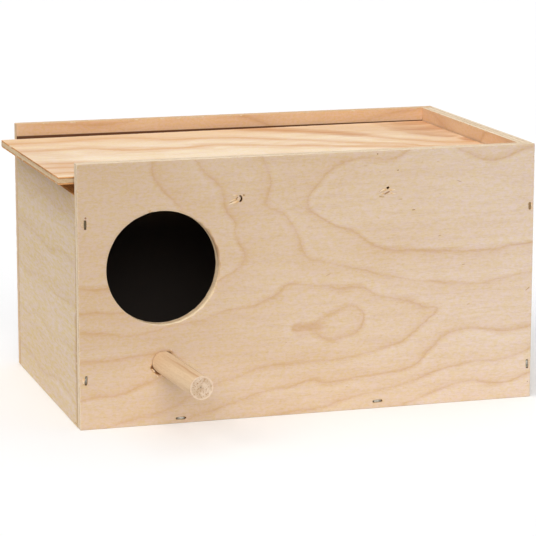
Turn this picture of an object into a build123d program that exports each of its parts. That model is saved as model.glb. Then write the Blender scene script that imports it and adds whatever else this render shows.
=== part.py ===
from build123d import *
import os

# A plywood nest box: five stapled boards, two runners, a loose sliding lid and a perch.
# Millimetres, +Z up, origin at the middle of the base. The entrance faces -Y, and the lid
# draws out over the low end board, towards -X.

# Outside of the box
LENGTH = 252.0
DEPTH = 160.0
HEIGHT = 140.0
FACE_BOARD = 6.0
END_BOARD = 7.5
FLOOR_BOARD = 6.0
LOW_END_HEIGHT = 123.0
ARRIS = 0.4

# Entrance hole, placed from the front board's left edge and from the base
HOLE_DIAMETER = 60.0
HOLE_FROM_LEFT = 45.0
HOLE_HEIGHT = 83.6
HOLE_ARRIS = 1.0

# Perch, straight under the entrance, leaning a little towards +X in its hole
PERCH_DIAMETER = 12.0
PERCH_REACH = 60.0
PERCH_HEIGHT = 33.4
PERCH_LEAN = 4.0
PERCH_END_CHAMFER = 0.2
PERCH_MOUTH_WIDTH = 0.9
PERCH_MOUTH_DEPTH = 1.2
PERCH_INSET = 0.5

# Lid, lying a little askew on its runners with its top below the rim of the box. Its corners are
# given from the left front one to the left back one: it is sawn slightly out of square, and its
# right end lies along the right end board.
LID_CORNERS = [(-134.0, -72.3), (118.0, -66.6), (118.0, 72.3), (-136.3, 66.6)]
LID_BOARD = 4.0
LID_BELOW_RIM = 7.5
RUNNER_HEIGHT = 15.0
RUNNER_THICKNESS = 8.0

# Staples, one size throughout. The crowns are driven just below the face, and deeper into it
# where they hold a runner.
CROWN_WIDTH = 5.7
WIRE_WIDTH = 1.25
WIRE_THICKNESS = 1.0
LEG_LENGTH = 12.5
CROWN_SHOULDER = 0.4
CROWN_SINK = 0.3
RUNNER_CROWN_SINK = 0.9
CROWN_DENT = 0.2

# Staple places on a face: distance from its left edge, height over the base, turn of the crown.
# The front was stapled by eye, the back is taken as even.
LEFT_EDGE = END_BOARD / 2
RIGHT_EDGE = LENGTH - END_BOARD / 2
FLOOR_EDGE = FLOOR_BOARD / 2
FRONT_LEFT_PLACES = [(4.1, 108.3, 90), (3.5, 26.3, 86)]
FRONT_RIGHT_PLACES = [(249.8, 106.0, 90), (250.0, 18.5, 93)]
FRONT_FLOOR_PLACES = [(54.2, 2.6, 0), (163.6, 3.8, 2)]
FRONT_RUNNER_PLACES = [(86.3, 118.0, 42), (166.8, 117.6, 50)]
BACK_LEFT_PLACES = [(LEFT_EDGE, 107.0, 90), (LEFT_EDGE, 24.0, 90)]
BACK_RIGHT_PLACES = [(RIGHT_EDGE, 107.0, 90), (RIGHT_EDGE, 24.0, 90)]
BACK_FLOOR_PLACES = [(70.0, FLOOR_EDGE, 0), (182.0, FLOOR_EDGE, 0)]
BACK_RUNNER_PLACES = [(84.0, 118.5, 45), (168.0, 118.5, 45)]

# Derived places
X_OUT = LENGTH / 2
Y_OUT = DEPTH / 2
X_IN = X_OUT - END_BOARD
Y_IN = Y_OUT - FACE_BOARD
LID_TOP = HEIGHT - LID_BELOW_RIM
RUNNER_TOP = LID_TOP - LID_BOARD
HOLE_X = HOLE_FROM_LEFT - X_OUT

# The two stapled faces, with their left edge at the local origin as seen from outside
FRONT_FACE = Plane(origin=(-X_OUT, -Y_OUT, 0), x_dir=(1, 0, 0), z_dir=(0, -1, 0))
BACK_FACE = Plane(origin=(X_OUT, Y_OUT, 0), x_dir=(-1, 0, 0), z_dir=(0, 1, 0))

# Each pair of staples: the face it is driven into, its places and the boards it passes through
STAPLE_PAIRS = {
    "front_left_staples": (FRONT_FACE, FRONT_LEFT_PLACES, ["front_panel", "left_end_panel"]),
    "front_right_staples": (FRONT_FACE, FRONT_RIGHT_PLACES, ["front_panel", "right_end_panel"]),
    "front_floor_staples": (FRONT_FACE, FRONT_FLOOR_PLACES, ["front_panel", "floor_panel"]),
    "front_runner_staples": (FRONT_FACE, FRONT_RUNNER_PLACES, ["front_panel", "front_lid_runner"]),
    "back_left_staples": (BACK_FACE, BACK_LEFT_PLACES, ["back_panel", "right_end_panel"]),
    "back_right_staples": (BACK_FACE, BACK_RIGHT_PLACES, ["back_panel", "left_end_panel"]),
    "back_floor_staples": (BACK_FACE, BACK_FLOOR_PLACES, ["back_panel", "floor_panel"]),
    "back_runner_staples": (BACK_FACE, BACK_RUNNER_PLACES, ["back_panel", "back_lid_runner"]),
}


def sawn_board(x_span, y_span, z_span):
    """A flat board between three pairs of limits, with its sawn arrises lightly broken."""
    sizes = [high - low for low, high in (x_span, y_span, z_span)]
    middle = [(high + low) / 2 for low, high in (x_span, y_span, z_span)]
    block = Pos(*middle) * Box(*sizes)
    return chamfer(block.edges(), ARRIS)


def perch_axis():
    """The perch's own frame: on the front face at the perch's root, Z pointing outwards."""
    root = Pos(HOLE_X, -Y_OUT, PERCH_HEIGHT)
    return root * Rot(0, 0, PERCH_LEAN) * Rot(90, 0, 0)


def front_panel():
    """The front board with the eased entrance hole and the perch hole with its chipped mouth."""
    board = sawn_board((-X_OUT, X_OUT), (-Y_OUT, -Y_IN), (0, HEIGHT))
    across = Pos(HOLE_X, -Y_OUT + FACE_BOARD / 2, HOLE_HEIGHT) * Rot(90, 0, 0)
    board -= across * Cylinder(HOLE_DIAMETER / 2, 2 * FACE_BOARD)
    rims = board.edges().filter_by(GeomType.CIRCLE)
    board = chamfer(rims, HOLE_ARRIS)
    board -= perch_axis() * Cylinder(PERCH_DIAMETER / 2, 4 * FACE_BOARD)
    mouth_radius = PERCH_DIAMETER / 2 + PERCH_MOUTH_WIDTH
    slope = PERCH_MOUTH_WIDTH / PERCH_MOUTH_DEPTH
    mouth = Cone(
        PERCH_DIAMETER / 2,
        mouth_radius + slope * FACE_BOARD,
        PERCH_MOUTH_DEPTH + FACE_BOARD,
        align=(Align.CENTER, Align.CENTER, Align.MIN),
    )
    return board - perch_axis() * Pos(0, 0, -PERCH_MOUTH_DEPTH) * mouth


def perch():
    """The dowel, ending just short of the chamber, its outer end lightly chamfered."""
    inner_end = FACE_BOARD - PERCH_INSET
    dowel = Cylinder(
        PERCH_DIAMETER / 2,
        PERCH_REACH + inner_end,
        align=(Align.CENTER, Align.CENTER, Align.MIN),
    )
    dowel = chamfer(dowel.edges().filter_by(GeomType.CIRCLE).sort_by(Axis.Z)[-1], PERCH_END_CHAMFER)
    return perch_axis() * Pos(0, 0, -inner_end) * dowel


def sliding_lid():
    """The loose lid: its outline raised by its thickness, with the arrises lightly broken."""
    outline = make_face(Polyline(*LID_CORNERS, close=True))
    board = Pos(0, 0, RUNNER_TOP) * extrude(outline, LID_BOARD)
    return chamfer(board.edges(), ARRIS)


def lid_runner(side):
    """A strip under the lid along the front (side -1) or back (side 1) board."""
    limits = sorted([side * Y_IN, side * (Y_IN - RUNNER_THICKNESS)])
    return sawn_board((-X_IN, X_IN), limits, (RUNNER_TOP - RUNNER_HEIGHT, RUNNER_TOP))


def staple(sink):
    """One staple: crown along X, sunk below Z = 0, with chisel-pointed legs down -Z."""
    half = CROWN_WIDTH / 2
    top = -sink
    foot = top - LEG_LENGTH
    right_leg = [
        (half - CROWN_SHOULDER, top),
        (half, top - CROWN_SHOULDER),
        (half, foot + WIRE_THICKNESS),
        (half - WIRE_THICKNESS, foot),
        (half - WIRE_THICKNESS, top - WIRE_THICKNESS),
    ]
    left_leg = [(-x, z) for x, z in reversed(right_leg)]
    outline = Plane.XZ * make_face(Polyline(*right_leg, *left_leg, close=True))
    return extrude(outline, WIRE_WIDTH / 2, both=True)


def staple_slot(sink):
    """What a driven staple leaves in the wood: its own shape and the dent over its crown."""
    dent = Pos(0, 0, -sink / 2) * Box(
        CROWN_WIDTH + 2 * CROWN_DENT, WIRE_WIDTH + 2 * CROWN_DENT, sink
    )
    return [staple(sink), dent]


def box_nodes():
    """Every piece of wood by name, before stapling."""
    inside = (-Y_IN, Y_IN)
    return {
        "front_panel": front_panel(),
        "back_panel": sawn_board((-X_OUT, X_OUT), (Y_IN, Y_OUT), (0, HEIGHT)),
        "left_end_panel": sawn_board((-X_OUT, -X_IN), inside, (0, LOW_END_HEIGHT)),
        "right_end_panel": sawn_board((X_IN, X_OUT), inside, (0, HEIGHT)),
        "floor_panel": sawn_board((-X_IN, X_IN), inside, (0, FLOOR_BOARD)),
        "front_lid_runner": lid_runner(-1),
        "back_lid_runner": lid_runner(1),
        "sliding_lid": sliding_lid(),
        "perch": perch(),
    }


def drive_staples(nodes):
    """Add each pair of staples as one node, and cut its slots in the boards it passes through."""
    for name, (face, places, boards) in STAPLE_PAIRS.items():
        sink = RUNNER_CROWN_SINK if "runner" in name else CROWN_SINK
        spots = [face.location * Pos(x, z, 0) * Rot(0, 0, turn) for x, z, turn in places]
        slots = [spot * shape for spot in spots for shape in staple_slot(sink)]
        for board in boards:
            nodes[board] = nodes[board] - slots
        nodes[name] = Compound(children=[spot * staple(sink) for spot in spots])


nodes = box_nodes()
drive_staples(nodes)
os.makedirs("parts", exist_ok=True)
for name, shape in nodes.items():
    export_step(shape, f"parts/{name}.step")
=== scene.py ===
"""A plywood nest box with a sliding lid, dressed around its packed construction.

Each board, strip, dowel and staple is worked out as a surface in millimetres, laid where the
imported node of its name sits, and rides on that node's body. The veneers carry their growth
rings as marks on the points of the mesh, and the finishes draw grain, plies and wear from them.
"""

import bmesh
import bpy
import numpy as np
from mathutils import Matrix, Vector
from mathutils.geometry import delaunay_2d_cdt


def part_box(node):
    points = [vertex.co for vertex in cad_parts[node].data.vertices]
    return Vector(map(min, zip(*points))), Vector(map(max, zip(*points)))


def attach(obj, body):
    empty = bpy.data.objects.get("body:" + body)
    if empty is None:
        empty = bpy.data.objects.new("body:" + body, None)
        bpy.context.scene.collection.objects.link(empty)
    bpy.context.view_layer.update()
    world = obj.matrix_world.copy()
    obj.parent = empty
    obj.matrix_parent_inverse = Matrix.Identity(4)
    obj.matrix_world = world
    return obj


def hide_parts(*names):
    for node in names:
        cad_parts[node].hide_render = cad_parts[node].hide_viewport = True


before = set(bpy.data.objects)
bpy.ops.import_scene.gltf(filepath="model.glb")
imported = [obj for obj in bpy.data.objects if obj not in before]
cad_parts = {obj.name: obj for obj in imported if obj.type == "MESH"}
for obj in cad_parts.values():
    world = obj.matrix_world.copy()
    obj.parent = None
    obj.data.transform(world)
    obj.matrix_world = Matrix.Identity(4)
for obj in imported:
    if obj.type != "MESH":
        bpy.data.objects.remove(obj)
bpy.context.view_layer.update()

MM = 0.001
TURN = 2 * np.pi

# Entrance and perch, on the front board from its lower left corner
ENTRANCE = np.array([45.0, 83.6])
ENTRANCE_RADIUS = 30.0
ENTRANCE_EASE = (1.6, 0.5)
ENTRANCE_MARGIN = 2.6
ENTRANCE_POINTS = 260
PERCH_SPOT = np.array([45.0, 33.4])
PERCH_RADIUS = 6.0
PERCH_ROOM = 0.04
PERCH_REACH = 60.0
PERCH_INSIDE = 5.5
PERCH_LEAN = np.radians(4.0)

# Perch from its inner end: rounding of that end as shares of the radius, rows of the shaft, and its sawn
# outer end from the shaft over the burr to the middle, as reach past the full length and radius
PERCH_BUTT = np.array([0.0, 0.4, 0.8, 0.96])
PERCH_BUTT_LENGTH = 0.3
PERCH_TIP_LENGTH = 1.4
SHAFT_ROWS = 58
PERCH_POINTS = 120
PERCH_TIP = np.array([
    (-0.8, 6.0), (-0.3, 6.1), (-0.05, 6.2), (0.02, 6.05), (-0.04, 5.7), (-0.14, 5.35),
    (-0.18, 4.7), (-0.18, 3.6), (-0.18, 2.2), (-0.18, 0.9), (-0.18, 0.0),
])
BURR_CREST = 2
BURR_INSIDE = 5.2

# Where the edge of the perch's hole is broken out: direction, size and spread in degrees
MOUTH_BREAKS = [(54, 0.3, 15), (205, 1.5, 11), (238, 1.0, 14)]

# Wear with painted shade on the entrance's edge: its direction and spread in degrees, its strength by row of
# the profile from the second row on, and the grime at the foot of the hole, from the ninth row on
WORN_SHADE_TOWARD = 22
WORN_SHADE_SPREAD = 34
RIM_WEAR_AND_SHADE = np.array([0.12, 0.75, 1.0, 1.0, 0.7, 0.45, 0.3, 0.2])
RIM_GRIME = np.array([0.1, 0.45, 0.3, 0.0, 0.1, 0.5, 0.7, 0.5])

# Lid, lying askew on its runners: its size, and its corners from the left front one round
LID_SIZE = (252.0, 139.0)
LID_CORNERS = np.array([(-134.0, -72.3), (118.0, -66.6), (118.0, 72.3), (-136.3, 66.6)])
LID_TOP = 132.5
LID_THICK = 4.0

# Plies, as shares of the thickness where one ends and the next begins
BOARD_LAYERS = (0.0, 0.27, 0.73, 1.0)
LID_LAYERS = (0.0, 0.18, 0.82, 1.0)
SOLID_LAYERS = (0.0, 1.0)

# Sawn edges: round of the outer and the inner arris, flat margin beside it, corners of a board, waves and
# chips along the edge, width of the groove at a glue line, and rows of the profile
FACE_ARRIS = (0.4, 0.2)
END_ARRIS = (0.2, 0.2)
LID_ARRIS = (0.4, 0.4)
LEAST_ARRIS = 0.1
MARGIN = 0.9
BOARD_CORNER = 0.35
EDGE_STEP = 1.0
ARRIS_WAVE = 9.0
SAW_WAVE = 31.0
CHIP_EVERY = 16.0
CHIP_WIDTH = 1.6
GLUE_GROOVE = 0.2
ARRIS_ROWS = 5
PLY_ROWS = 8
VENEER_ROWS = 3

# Flat collar round whatever is sunk into a face
COLLAR = 0.2

# Staples: crown, wire across and through, leg, how deep the crown sits, also over a runner, its bends, bow
# and chisel points, the half of the crown that stays clean, and the slit that it shows in
CROWN = 5.7
WIRE_ACROSS = 1.25
WIRE_THROUGH = 1.0
LEG = 12.5
CROWN_SINK = 0.3
RUNNER_SINK = 0.9
CROWN_BEND = 1.0
CROWN_BOW = 0.12
CHISEL = 1.2
CLEAN_CROWN = 1.4
CLEAN_FADE = 0.9
BURIED_GRIME = 0.5
SLIT_DEPTH = 0.9
SLIT_ROOM = 0.08
LEAST_TEAR = 0.1

# Rows of a driven staple's seat, from its rim to the floor of its slit: share of the tears, depth, torn,
# stain, and the stain added at the ends
SEAT_ROWS = [
    (1.0, 0.0, 0.0, 0.3, 0.0),
    (0.85, 0.09, 1.0, 0.1, 0.1),
    (0.4, 0.14, 1.0, 0.1, 0.35),
    (0.0, 0.18, 0.8, 0.35, 0.6),
    (0.0, 0.5, 0.2, 0.5, 0.5),
    (0.0, SLIT_DEPTH, 0.0, 0.8, 0.2),
]

# Rows of a stroke in the veneer, from its rim to its floor: share of the half width, depth, torn and stain;
# a crack's stain past one paints shade near black at its floor
STROKE_ROWS = {
    "crack": [(1.0, 0.0, 0.0, 0.6), (0.8, 0.4, 0.0, 1.1), (0.5, 1.5, 0.0, 1.4)],
    "split": [(1.0, 0.0, 0.0, 0.3), (0.8, 0.1, 0.1, 0.5), (0.5, 0.2, 0.1, 0.6)],
    "raw": [(1.0, 0.0, 0.2, 0.1), (0.8, 0.08, 0.4, 0.5), (0.5, 0.15, 0.5, 0.65)],
    "fleck": [(1.3, 0.0, 0.0, 0.0), (0.85, 0.05, 0.0, 0.68), (0.4, 0.12, 0.0, 0.76)],
}

# Each staple: place on the face from its lower left corner, turn of the crown, half length of the slit
# it shows in, grime on its wire, and the tears on its left (0) or right (1) side as (side, place along
# the half crown, reach, spread)
FRONT_STAPLES = {
    "front_left_staples": [
        (4.1, 108.3, 90, 2.5, 0.85, [(0, 0.1, 1.9, 0.7)]),
        (3.5, 26.3, 86, 2.5, 0.5, [(0, -0.5, 1.0, 0.5), (1, 0.7, 0.3, 0.3)]),
    ],
    "front_right_staples": [
        (249.8, 106.0, 90, 2.0, 1.3, [(0, 0.6, 0.5, 0.3), (1, -0.3, 0.2, 0.4)]),
        (250.0, 18.5, 93, 2.5, 0.25, [(0, -0.6, 0.5, 0.3)]),
    ],
    "front_floor_staples": [
        (54.2, 2.6, 0, 2.8, 0.1, [(0, 0.5, 0.3, 0.3)]),
        (163.6, 3.8, 2, 2.8, 0.1, [(0, -0.6, 0.3, 0.3)]),
    ],
}
FRONT_RUNNER_STAPLES = [(86.3, 118.0, 42), (166.8, 117.6, 50)]
BACK_STAPLES = {
    "back_left_staples": [
        (3.75, 107.0, 90, 2.7, 0.3, [(1, 0.2, 1.0, 0.5)]),
        (3.75, 24.0, 90, 2.7, 0.2, [(0, 0.0, 0.8, 0.6)]),
    ],
    "back_right_staples": [
        (248.25, 107.0, 90, 2.7, 0.2, [(0, -0.4, 0.9, 0.5)]),
        (248.25, 24.0, 90, 2.7, 0.4, []),
    ],
    "back_floor_staples": [
        (70.0, 3.0, 0, 2.8, 0.1, [(0, 0.4, 0.4, 0.4)]),
        (182.0, 3.0, 0, 2.8, 0.2, []),
    ],
}
BACK_RUNNER_STAPLES = [(84.0, 118.5, 45), (168.0, 118.5, 45)]

# Where a crown went in deep, the veneer closed over it: dark cracks, their floors painted near black as
# shade, and raw torn hollows, each a route from the staple's place and its half widths
FIRST_BURIED = [
    ("crack", [(0.2, 1.7), (0.9, 1.2), (1.3, 0.5), (1.3, -0.4), (0.9, -1.1), (0.2, -1.6)],
     (0.5, 0.5, 0.45, 0.5, 0.55, 0.4)),
    ("split", [(2.3, 1.6), (2.9, 2.0)], (0.5, 0.45)),
    ("split", [(-0.7, 0.9), (-1.3, 0.1), (-2.0, -0.7)], (0.3, 0.4, 0.3)),
    ("raw", [(-5.4, -1.7), (-4.2, -1.4), (-3.1, -1.1)], (0.25, 0.5, 0.4)),
]
SECOND_BURIED = [
    ("crack", [(1.0, 1.9), (2.3, 2.6)], (0.7, 0.5)),
    ("split", [(-0.3, -1.2), (1.2, -0.4), (2.7, 0.3)], (0.3, 0.45, 0.3)),
    ("raw", [(-3.4, -2.2), (-1.8, -2.3), (-0.4, -2.6)], (0.25, 0.5, 0.35)),
    ("raw", [(-3.2, 0.5), (-1.4, 0.6), (-0.2, 0.7)], (0.25, 0.4, 0.3)),
]

# Slivers lifted from the front: depth of their roots, and each one's root, heading, length and width
SLIVER_ROOT = 0.05
SLIVERS = [
    (86.4, 116.6, 189, 6.2, 1.7), (84.9, 117.9, 197, 4.6, 1.0), (86.6, 117.4, 150, 1.5, 0.9),
    (85.6, 119.8, 176, 3.0, 0.9), (167.8, 119.1, 191, 4.4, 1.4), (168.9, 118.7, -2, 4.2, 1.2),
    (169.7, 117.0, -12, 3.2, 0.9), (166.6, 117.0, 188, 3.4, 1.0), (250.9, 108.0, 262, 2.4, 0.9),
    (250.9, 105.4, 280, 1.8, 0.9), (2.5, 27.8, 255, 3.2, 1.4),
]

# Slivers drawn round the perch's mouth: direction and count
MOUTH_SLIVERS = [(198, 2), (222, 2), (246, 2), (46, 1)]

# Growth lines of the front veneer: ring number, and points along each line in millimetres from
# the board's lower left corner. Rings count outwards from the eye below the middle.
FRONT_RINGS = [
    (0, [(0, 36.5), (10, 36.5), (20, 37), (30, 38), (38, 38.5), (56, 31), (43, 25), (33, 21.5),
         (27, 19), (20, 17), (8, 17), (0, 15.5)]),
    (0, [(116, 47), (128, 49), (140, 55), (147, 57.6), (152, 56), (155, 53.5), (155.6, 49), (152, 43),
         (144, 40.3), (136, 38.6), (131, 41.5), (122, 45)]),
    (1, [(0, 52.5), (10, 51.5), (22, 49.5), (31, 49), (42, 51), (57, 54), (66, 54.5), (75, 58), (85, 60),
         (95, 61), (100, 63.5), (107, 66), (110, 69.5), (117, 71.5), (125, 70), (135, 69), (142, 67),
         (155, 67), (160, 63.5), (172, 60), (182, 57.5), (190, 54.5), (199, 52.5), (190, 45), (180, 37),
         (170, 33.5), (160, 31), (148, 29), (135, 28), (115, 27.5), (95, 26), (88, 23), (73, 19.5),
         (50, 8.5), (40, 5), (28, 3.5)]),
    (2, [(0, 62.5), (10, 62), (22, 61.5), (75, 75.5), (79, 77.5), (84.5, 80), (88, 84), (89, 89), (86, 94),
         (83.5, 100), (84, 105), (80, 110), (78, 115), (77.5, 121), (75, 126), (69, 131), (64, 137)]),
    (2, [(99, 140), (102, 133), (103.5, 123), (101.5, 116), (103, 112), (110, 110), (116, 103), (120, 95),
         (122, 87), (125, 84), (134, 82), (142, 80), (152, 77.5), (160, 75), (175, 71.5), (182, 69.5),
         (200, 67.5), (215, 66), (232, 67), (252, 70)]),
    (2, [(58, 1), (62, 3), (72, 5), (80, 8), (92, 11), (103, 14), (112, 15), (120, 16.5), (128, 18),
         (133, 16), (140, 16), (150, 17.5), (165, 18.5), (175, 19.5), (182, 21), (188, 24.5), (191, 28.5),
         (196, 32), (200, 37), (207, 39.5), (215, 40.5), (225, 39.5), (235, 37.5), (252, 39.5)]),
    (3, [(0, 76), (7, 75), (15, 75), (55, 113), (49, 120.5), (43, 127), (40, 132), (39, 140)]),
    (3, [(181, 140), (175, 136), (165, 135), (152, 136.5), (140, 133), (133, 127), (128, 121), (124, 117),
         (124, 112), (128, 108), (135, 104), (141, 100.5), (149, 98.5), (153, 95), (160, 90), (167, 87),
         (180, 86), (200, 84.5), (215, 83.5), (230, 84), (252, 86)]),
    (3, [(206, 140), (215, 136), (222, 133), (229, 132), (237, 133.5), (244, 137)]),
    (3, [(115, 1), (130, 2), (138, 4), (148, 6.5), (158, 8.5), (170, 10.5), (180, 13), (190, 15.5),
         (200, 18.5), (210, 20.5), (230, 21.5), (240, 23), (252, 27)]),
    (4, [(180, 1), (190, 4.5), (200, 8), (208, 10), (218, 11.5), (225, 10), (235, 9), (243, 10.5),
         (252, 13)]),
    (-0.6, [(146, 48)]),
    (-0.45, [(0, 27), (20, 28)]),
    (1.35, [(250, 54)]),
    (1.6, [(95, 128), (100, 95)]),
    (3.3, [(160, 110), (215, 108), (250, 112)]),
    (3.4, [(3, 95), (10, 115), (12, 130)]),
    (2.55, [(150, 142), (166, 142), (222, 142), (237, 142)]),
]

# Bands of the lid's veneer in the same way, from its left front corner, counted from the back
LID_RINGS = [
    (0, [(137, 139), (149, 132), (163, 121), (177, 111), (190, 99), (198, 91), (204, 81), (214, 69),
         (224, 59), (236, 50)]),
    (1, [(0, 119), (24, 119), (50, 123), (66, 123), (80, 116), (94, 108), (108, 108), (120, 106), (136, 99),
         (148, 90), (164, 81), (176, 72), (188, 64), (215, 45)]),
    (2, [(0, 90), (20, 90), (36, 91), (48, 83), (60, 77), (80, 77), (96, 78), (108, 82), (120, 77),
         (140, 69), (160, 61), (176, 54), (190, 49), (205, 43)]),
    (3, [(0, 45), (12, 43), (30, 38), (90, 30), (170, 16), (250, 1)]),
    (4, [(0, 30), (12, 29), (40, 22), (110, 12)]),
    (5, [(0, 12), (12, 12), (50, 4)]),
    (-0.5, [(205, 138), (240, 125), (250, 90)]),
]

# Darker figure at the lid's right end: route, half width and strength
LID_FIGURE = [
    ([(142, 139), (156, 131), (170, 121), (184, 110), (196, 97)], 9.0, 0.55),
    ([(200, 92), (212, 78), (226, 64)], 5.0, 0.1),
    ([(224, 139), (225, 122)], 5.0, 0.4),
    ([(230, 109), (240, 106), (251, 109)], 11.0, 0.8),
    ([(248, 113), (251, 110)], 6.0, 0.75),
    ([(236, 128), (250, 130)], 10.0, 0.7),
    ([(238, 92), (252, 94)], 15.0, 0.5),
    ([(230, 92), (238, 80), (244, 75)], 5.5, 0.75),
    ([(249.5, 64), (250.5, 54)], 4.0, 0.9),
    ([(190, 128), (212, 116), (218, 100)], 12.0, 0.18),
    ([(4, 78), (4, 30)], 20.0, 0.22),
]

# Brown flame beside the eye of the front veneer
FRONT_FIGURE = [([(117, 47.3), (125, 47.6), (131, 46.8)], 2.6, 0.22)]

# Grime in the left end board's joint with the front board
LEFT_JOINT = [([(147.7, 1), (147.7, 60)], 0.8, 0.5), ([(147.8, 60), (147.8, 110)], 0.6, 0.3)]

# Small dark inclusions of the front and left veneers: place, length, width, turn and strength
FRONT_FLECKS = [
    (164.0, 128.5, 1.4, 0.35, -8, 0.45), (174.0, 129.0, 1.3, 0.55, 12, 0.8),
    (187.5, 132.7, 0.9, 0.4, 0, 0.4), (196.5, 132.7, 1.0, 0.4, 8, 0.35),
    (175.5, 113.3, 2.2, 0.45, 4, 0.5), (183.0, 107.3, 2.0, 0.6, 6, 0.75),
    (198.0, 115.0, 1.4, 0.35, -12, 0.4), (208.8, 121.5, 3.0, 0.4, -24, 0.55),
    (198.0, 92.5, 2.0, 0.45, 10, 0.6), (212.0, 76.0, 2.0, 0.4, 10, 0.6),
    (135.5, 74.8, 3.0, 0.4, 22, 0.5), (215.0, 54.0, 1.6, 0.4, 14, 0.5),
    (146.0, 13.0, 1.2, 0.35, 5, 0.5), (196.0, 12.0, 1.0, 0.35, 0, 0.4),
    (162.5, 138.2, 0.9, 0.6, 0, 1.0), (249.4, 60.4, 3.2, 0.5, 40, 0.6),
    (250.4, 8.5, 0.8, 0.5, 40, 0.7), (112.0, 39.5, 1.6, 0.35, 8, 0.4),
    (4.3, 111.85, 1.1, 1.1, 80, 1.0),
]
LEFT_FLECKS = [(144.2, 1.45, 4.4, 0.5, 0, 1.0), (139.5, 1.6, 1.4, 0.35, 4, 0.6)]


# Arithmetic shared by the surfaces

def closed_ripple(run, wave, seed):
    """Wavering about zero along a closed run: a sum of cosines, each with a whole number of turns
    round the run near the given wave length and a phase drawn from the seed."""
    parts = 7
    draw = np.random.default_rng(seed)
    length = run[-1] + (run[-1] - run[-2])
    turns = np.maximum(1, np.round(length / wave * draw.uniform(0.5, 2.0, parts)))
    phase = draw.uniform(0, TURN, parts)
    return np.cos(TURN * run[:, None] / length * turns + phase).sum(1) / np.sqrt(parts)


def scattered_dips(run, count, width, seed):
    """Dips of height up to one at drawn places along a closed run: narrow bells of drawn widths."""
    draw = np.random.default_rng(seed)
    length = run[-1] + (run[-1] - run[-2])
    gap = run[:, None] - draw.uniform(0, length, count)
    gap = (gap + length / 2) % length - length / 2
    bells = np.exp(-(gap / (width * draw.uniform(0.4, 1.3, count))) ** 4)
    return (bells * draw.uniform(0.3, 1.0, count)).max(1)


def inside_loop(points, loop):
    """Whether each point lies in a closed loop: the angles under which it sees the loop's sides
    add up to a full turn."""
    start = loop[None] - points[:, None]
    end = np.roll(start, -1, axis=1)
    cross = start[..., 0] * end[..., 1] - start[..., 1] * end[..., 0]
    return np.abs(np.arctan2(cross, (start * end).sum(-1)).sum(1)) > np.pi


def distance_to_route(points, route):
    """Least distance from each point to a route of straight runs: the point is dropped on each run,
    held between its ends, and the nearest is kept."""
    route = np.array(route, float)
    start, along = route[:-1], np.diff(route, axis=0)
    gap = points[:, None] - start
    share = np.clip((gap * along).sum(-1) / (along ** 2).sum(-1), 0, 1)
    return np.linalg.norm(gap - share[..., None] * along, axis=-1).min(1)


def rectangle_path(size, corner, step):
    """Closed path round a rectangle from its lower left, with quarter circles at the corners and
    evenly spread points on the sides. Gives the points, and for each the direction into the wood,
    which is square to the side and leans to the mitre near a corner."""
    size = np.array(size, float)
    arc = np.linspace(0, np.pi / 2, 4)
    bends = []
    for quarter, (right, up) in enumerate([(1, 0), (1, 1), (0, 1), (0, 0)]):
        centre = np.array([right, up]) * (size - 2 * corner) + corner
        angle = arc + (quarter - 1) * np.pi / 2
        bends.append(centre + corner * np.stack([np.cos(angle), np.sin(angle)], -1))
    joined = []
    for bend, following in zip(bends, bends[1:] + bends[:1]):
        count = int(np.hypot(*(following[0] - bend[-1])) / step)
        share = np.arange(1, count)[:, None] / count
        joined += [bend, bend[-1] + (following[0] - bend[-1]) * share]
    path = np.concatenate(joined)
    return path, 1 - 2 * path / size


def circle_path(centre, radius, count):
    """Closed circle, and for each point the direction into the wood round it, which is outwards."""
    angle = np.arange(count) * TURN / count
    outward = np.stack([np.cos(angle), np.sin(angle)], -1)
    return centre + radius * outward, outward


def path_run(path):
    """Distance along a path at each of its points."""
    return np.concatenate([[0], np.cumsum(np.hypot(*np.diff(path, axis=0).T))])


def columns(rows):
    """The columns of a table of rows, each ready to spread over the points of a route."""
    return np.array(rows, float).T[..., None]


def heading_of(degrees):
    """Direction on a face from its turn."""
    angle = np.radians(degrees)
    return np.array([np.cos(angle), np.sin(angle)])


# Growth rings as a number over a face, whole at each dark line

def traced_growth(lines):
    """Growth number that takes the given value along each given line, as the thin plate surface
    through all their points: a sloping plane plus, for each point, distance squared times its log."""
    marks = np.concatenate([np.array(points, float) for _, points in lines])
    level = np.concatenate([np.full(len(points), ring, float) for ring, points in lines])
    give = 4.0

    def kernel(points):
        square = ((points[:, None] - marks[None]) ** 2).sum(-1)
        return 0.5 * square * np.log(square + 1e-9)

    count = len(marks)
    plane = np.column_stack([np.ones(count), marks])
    system = np.block([[kernel(marks) + give * np.eye(count), plane], [plane.T, np.zeros((3, 3))]])
    weight = np.linalg.solve(system, np.concatenate([level, np.zeros(3)]))

    def growth(points):
        return kernel(points) @ weight[:count] + weight[count] + points @ weight[count + 1:]

    return growth


def arched_growth(centre, stretch, spacing, swing, seed):
    """Growth number of a flat-sawn face: distance from a centre, long in the grain direction, plus
    slow waves, divided by the ring spacing."""
    draw = np.random.default_rng(seed)
    parts = 5
    shortest = np.array([70.0, 38.0])
    slant = draw.uniform(-1, 1, (parts, 2)) / shortest
    phase = draw.uniform(0, TURN, parts)

    def growth(points):
        away = (points - np.array(centre)) / np.array([stretch, 1.0])
        waves = np.sin(TURN * points @ slant.T + phase).sum(1) / np.sqrt(parts)
        return (np.hypot(away[:, 0], away[:, 1]) + swing * waves) / spacing

    return growth


def ring_spacing(growth, points):
    """Millimetres from one ring to the next: one over the slope of the growth number, from its change
    over a small step in both directions."""
    step = 0.5
    least, most = 2.5, 45.0
    here = growth(points)
    rise = [growth(points + np.array(move)) - here for move in ((step, 0.0), (0.0, step))]
    return np.clip(step / np.maximum(np.hypot(*rise), 1e-6), least, most)


# Meshes

MARKS = ("growth", "spacing", "torn", "depth", "across", "stain")


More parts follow.
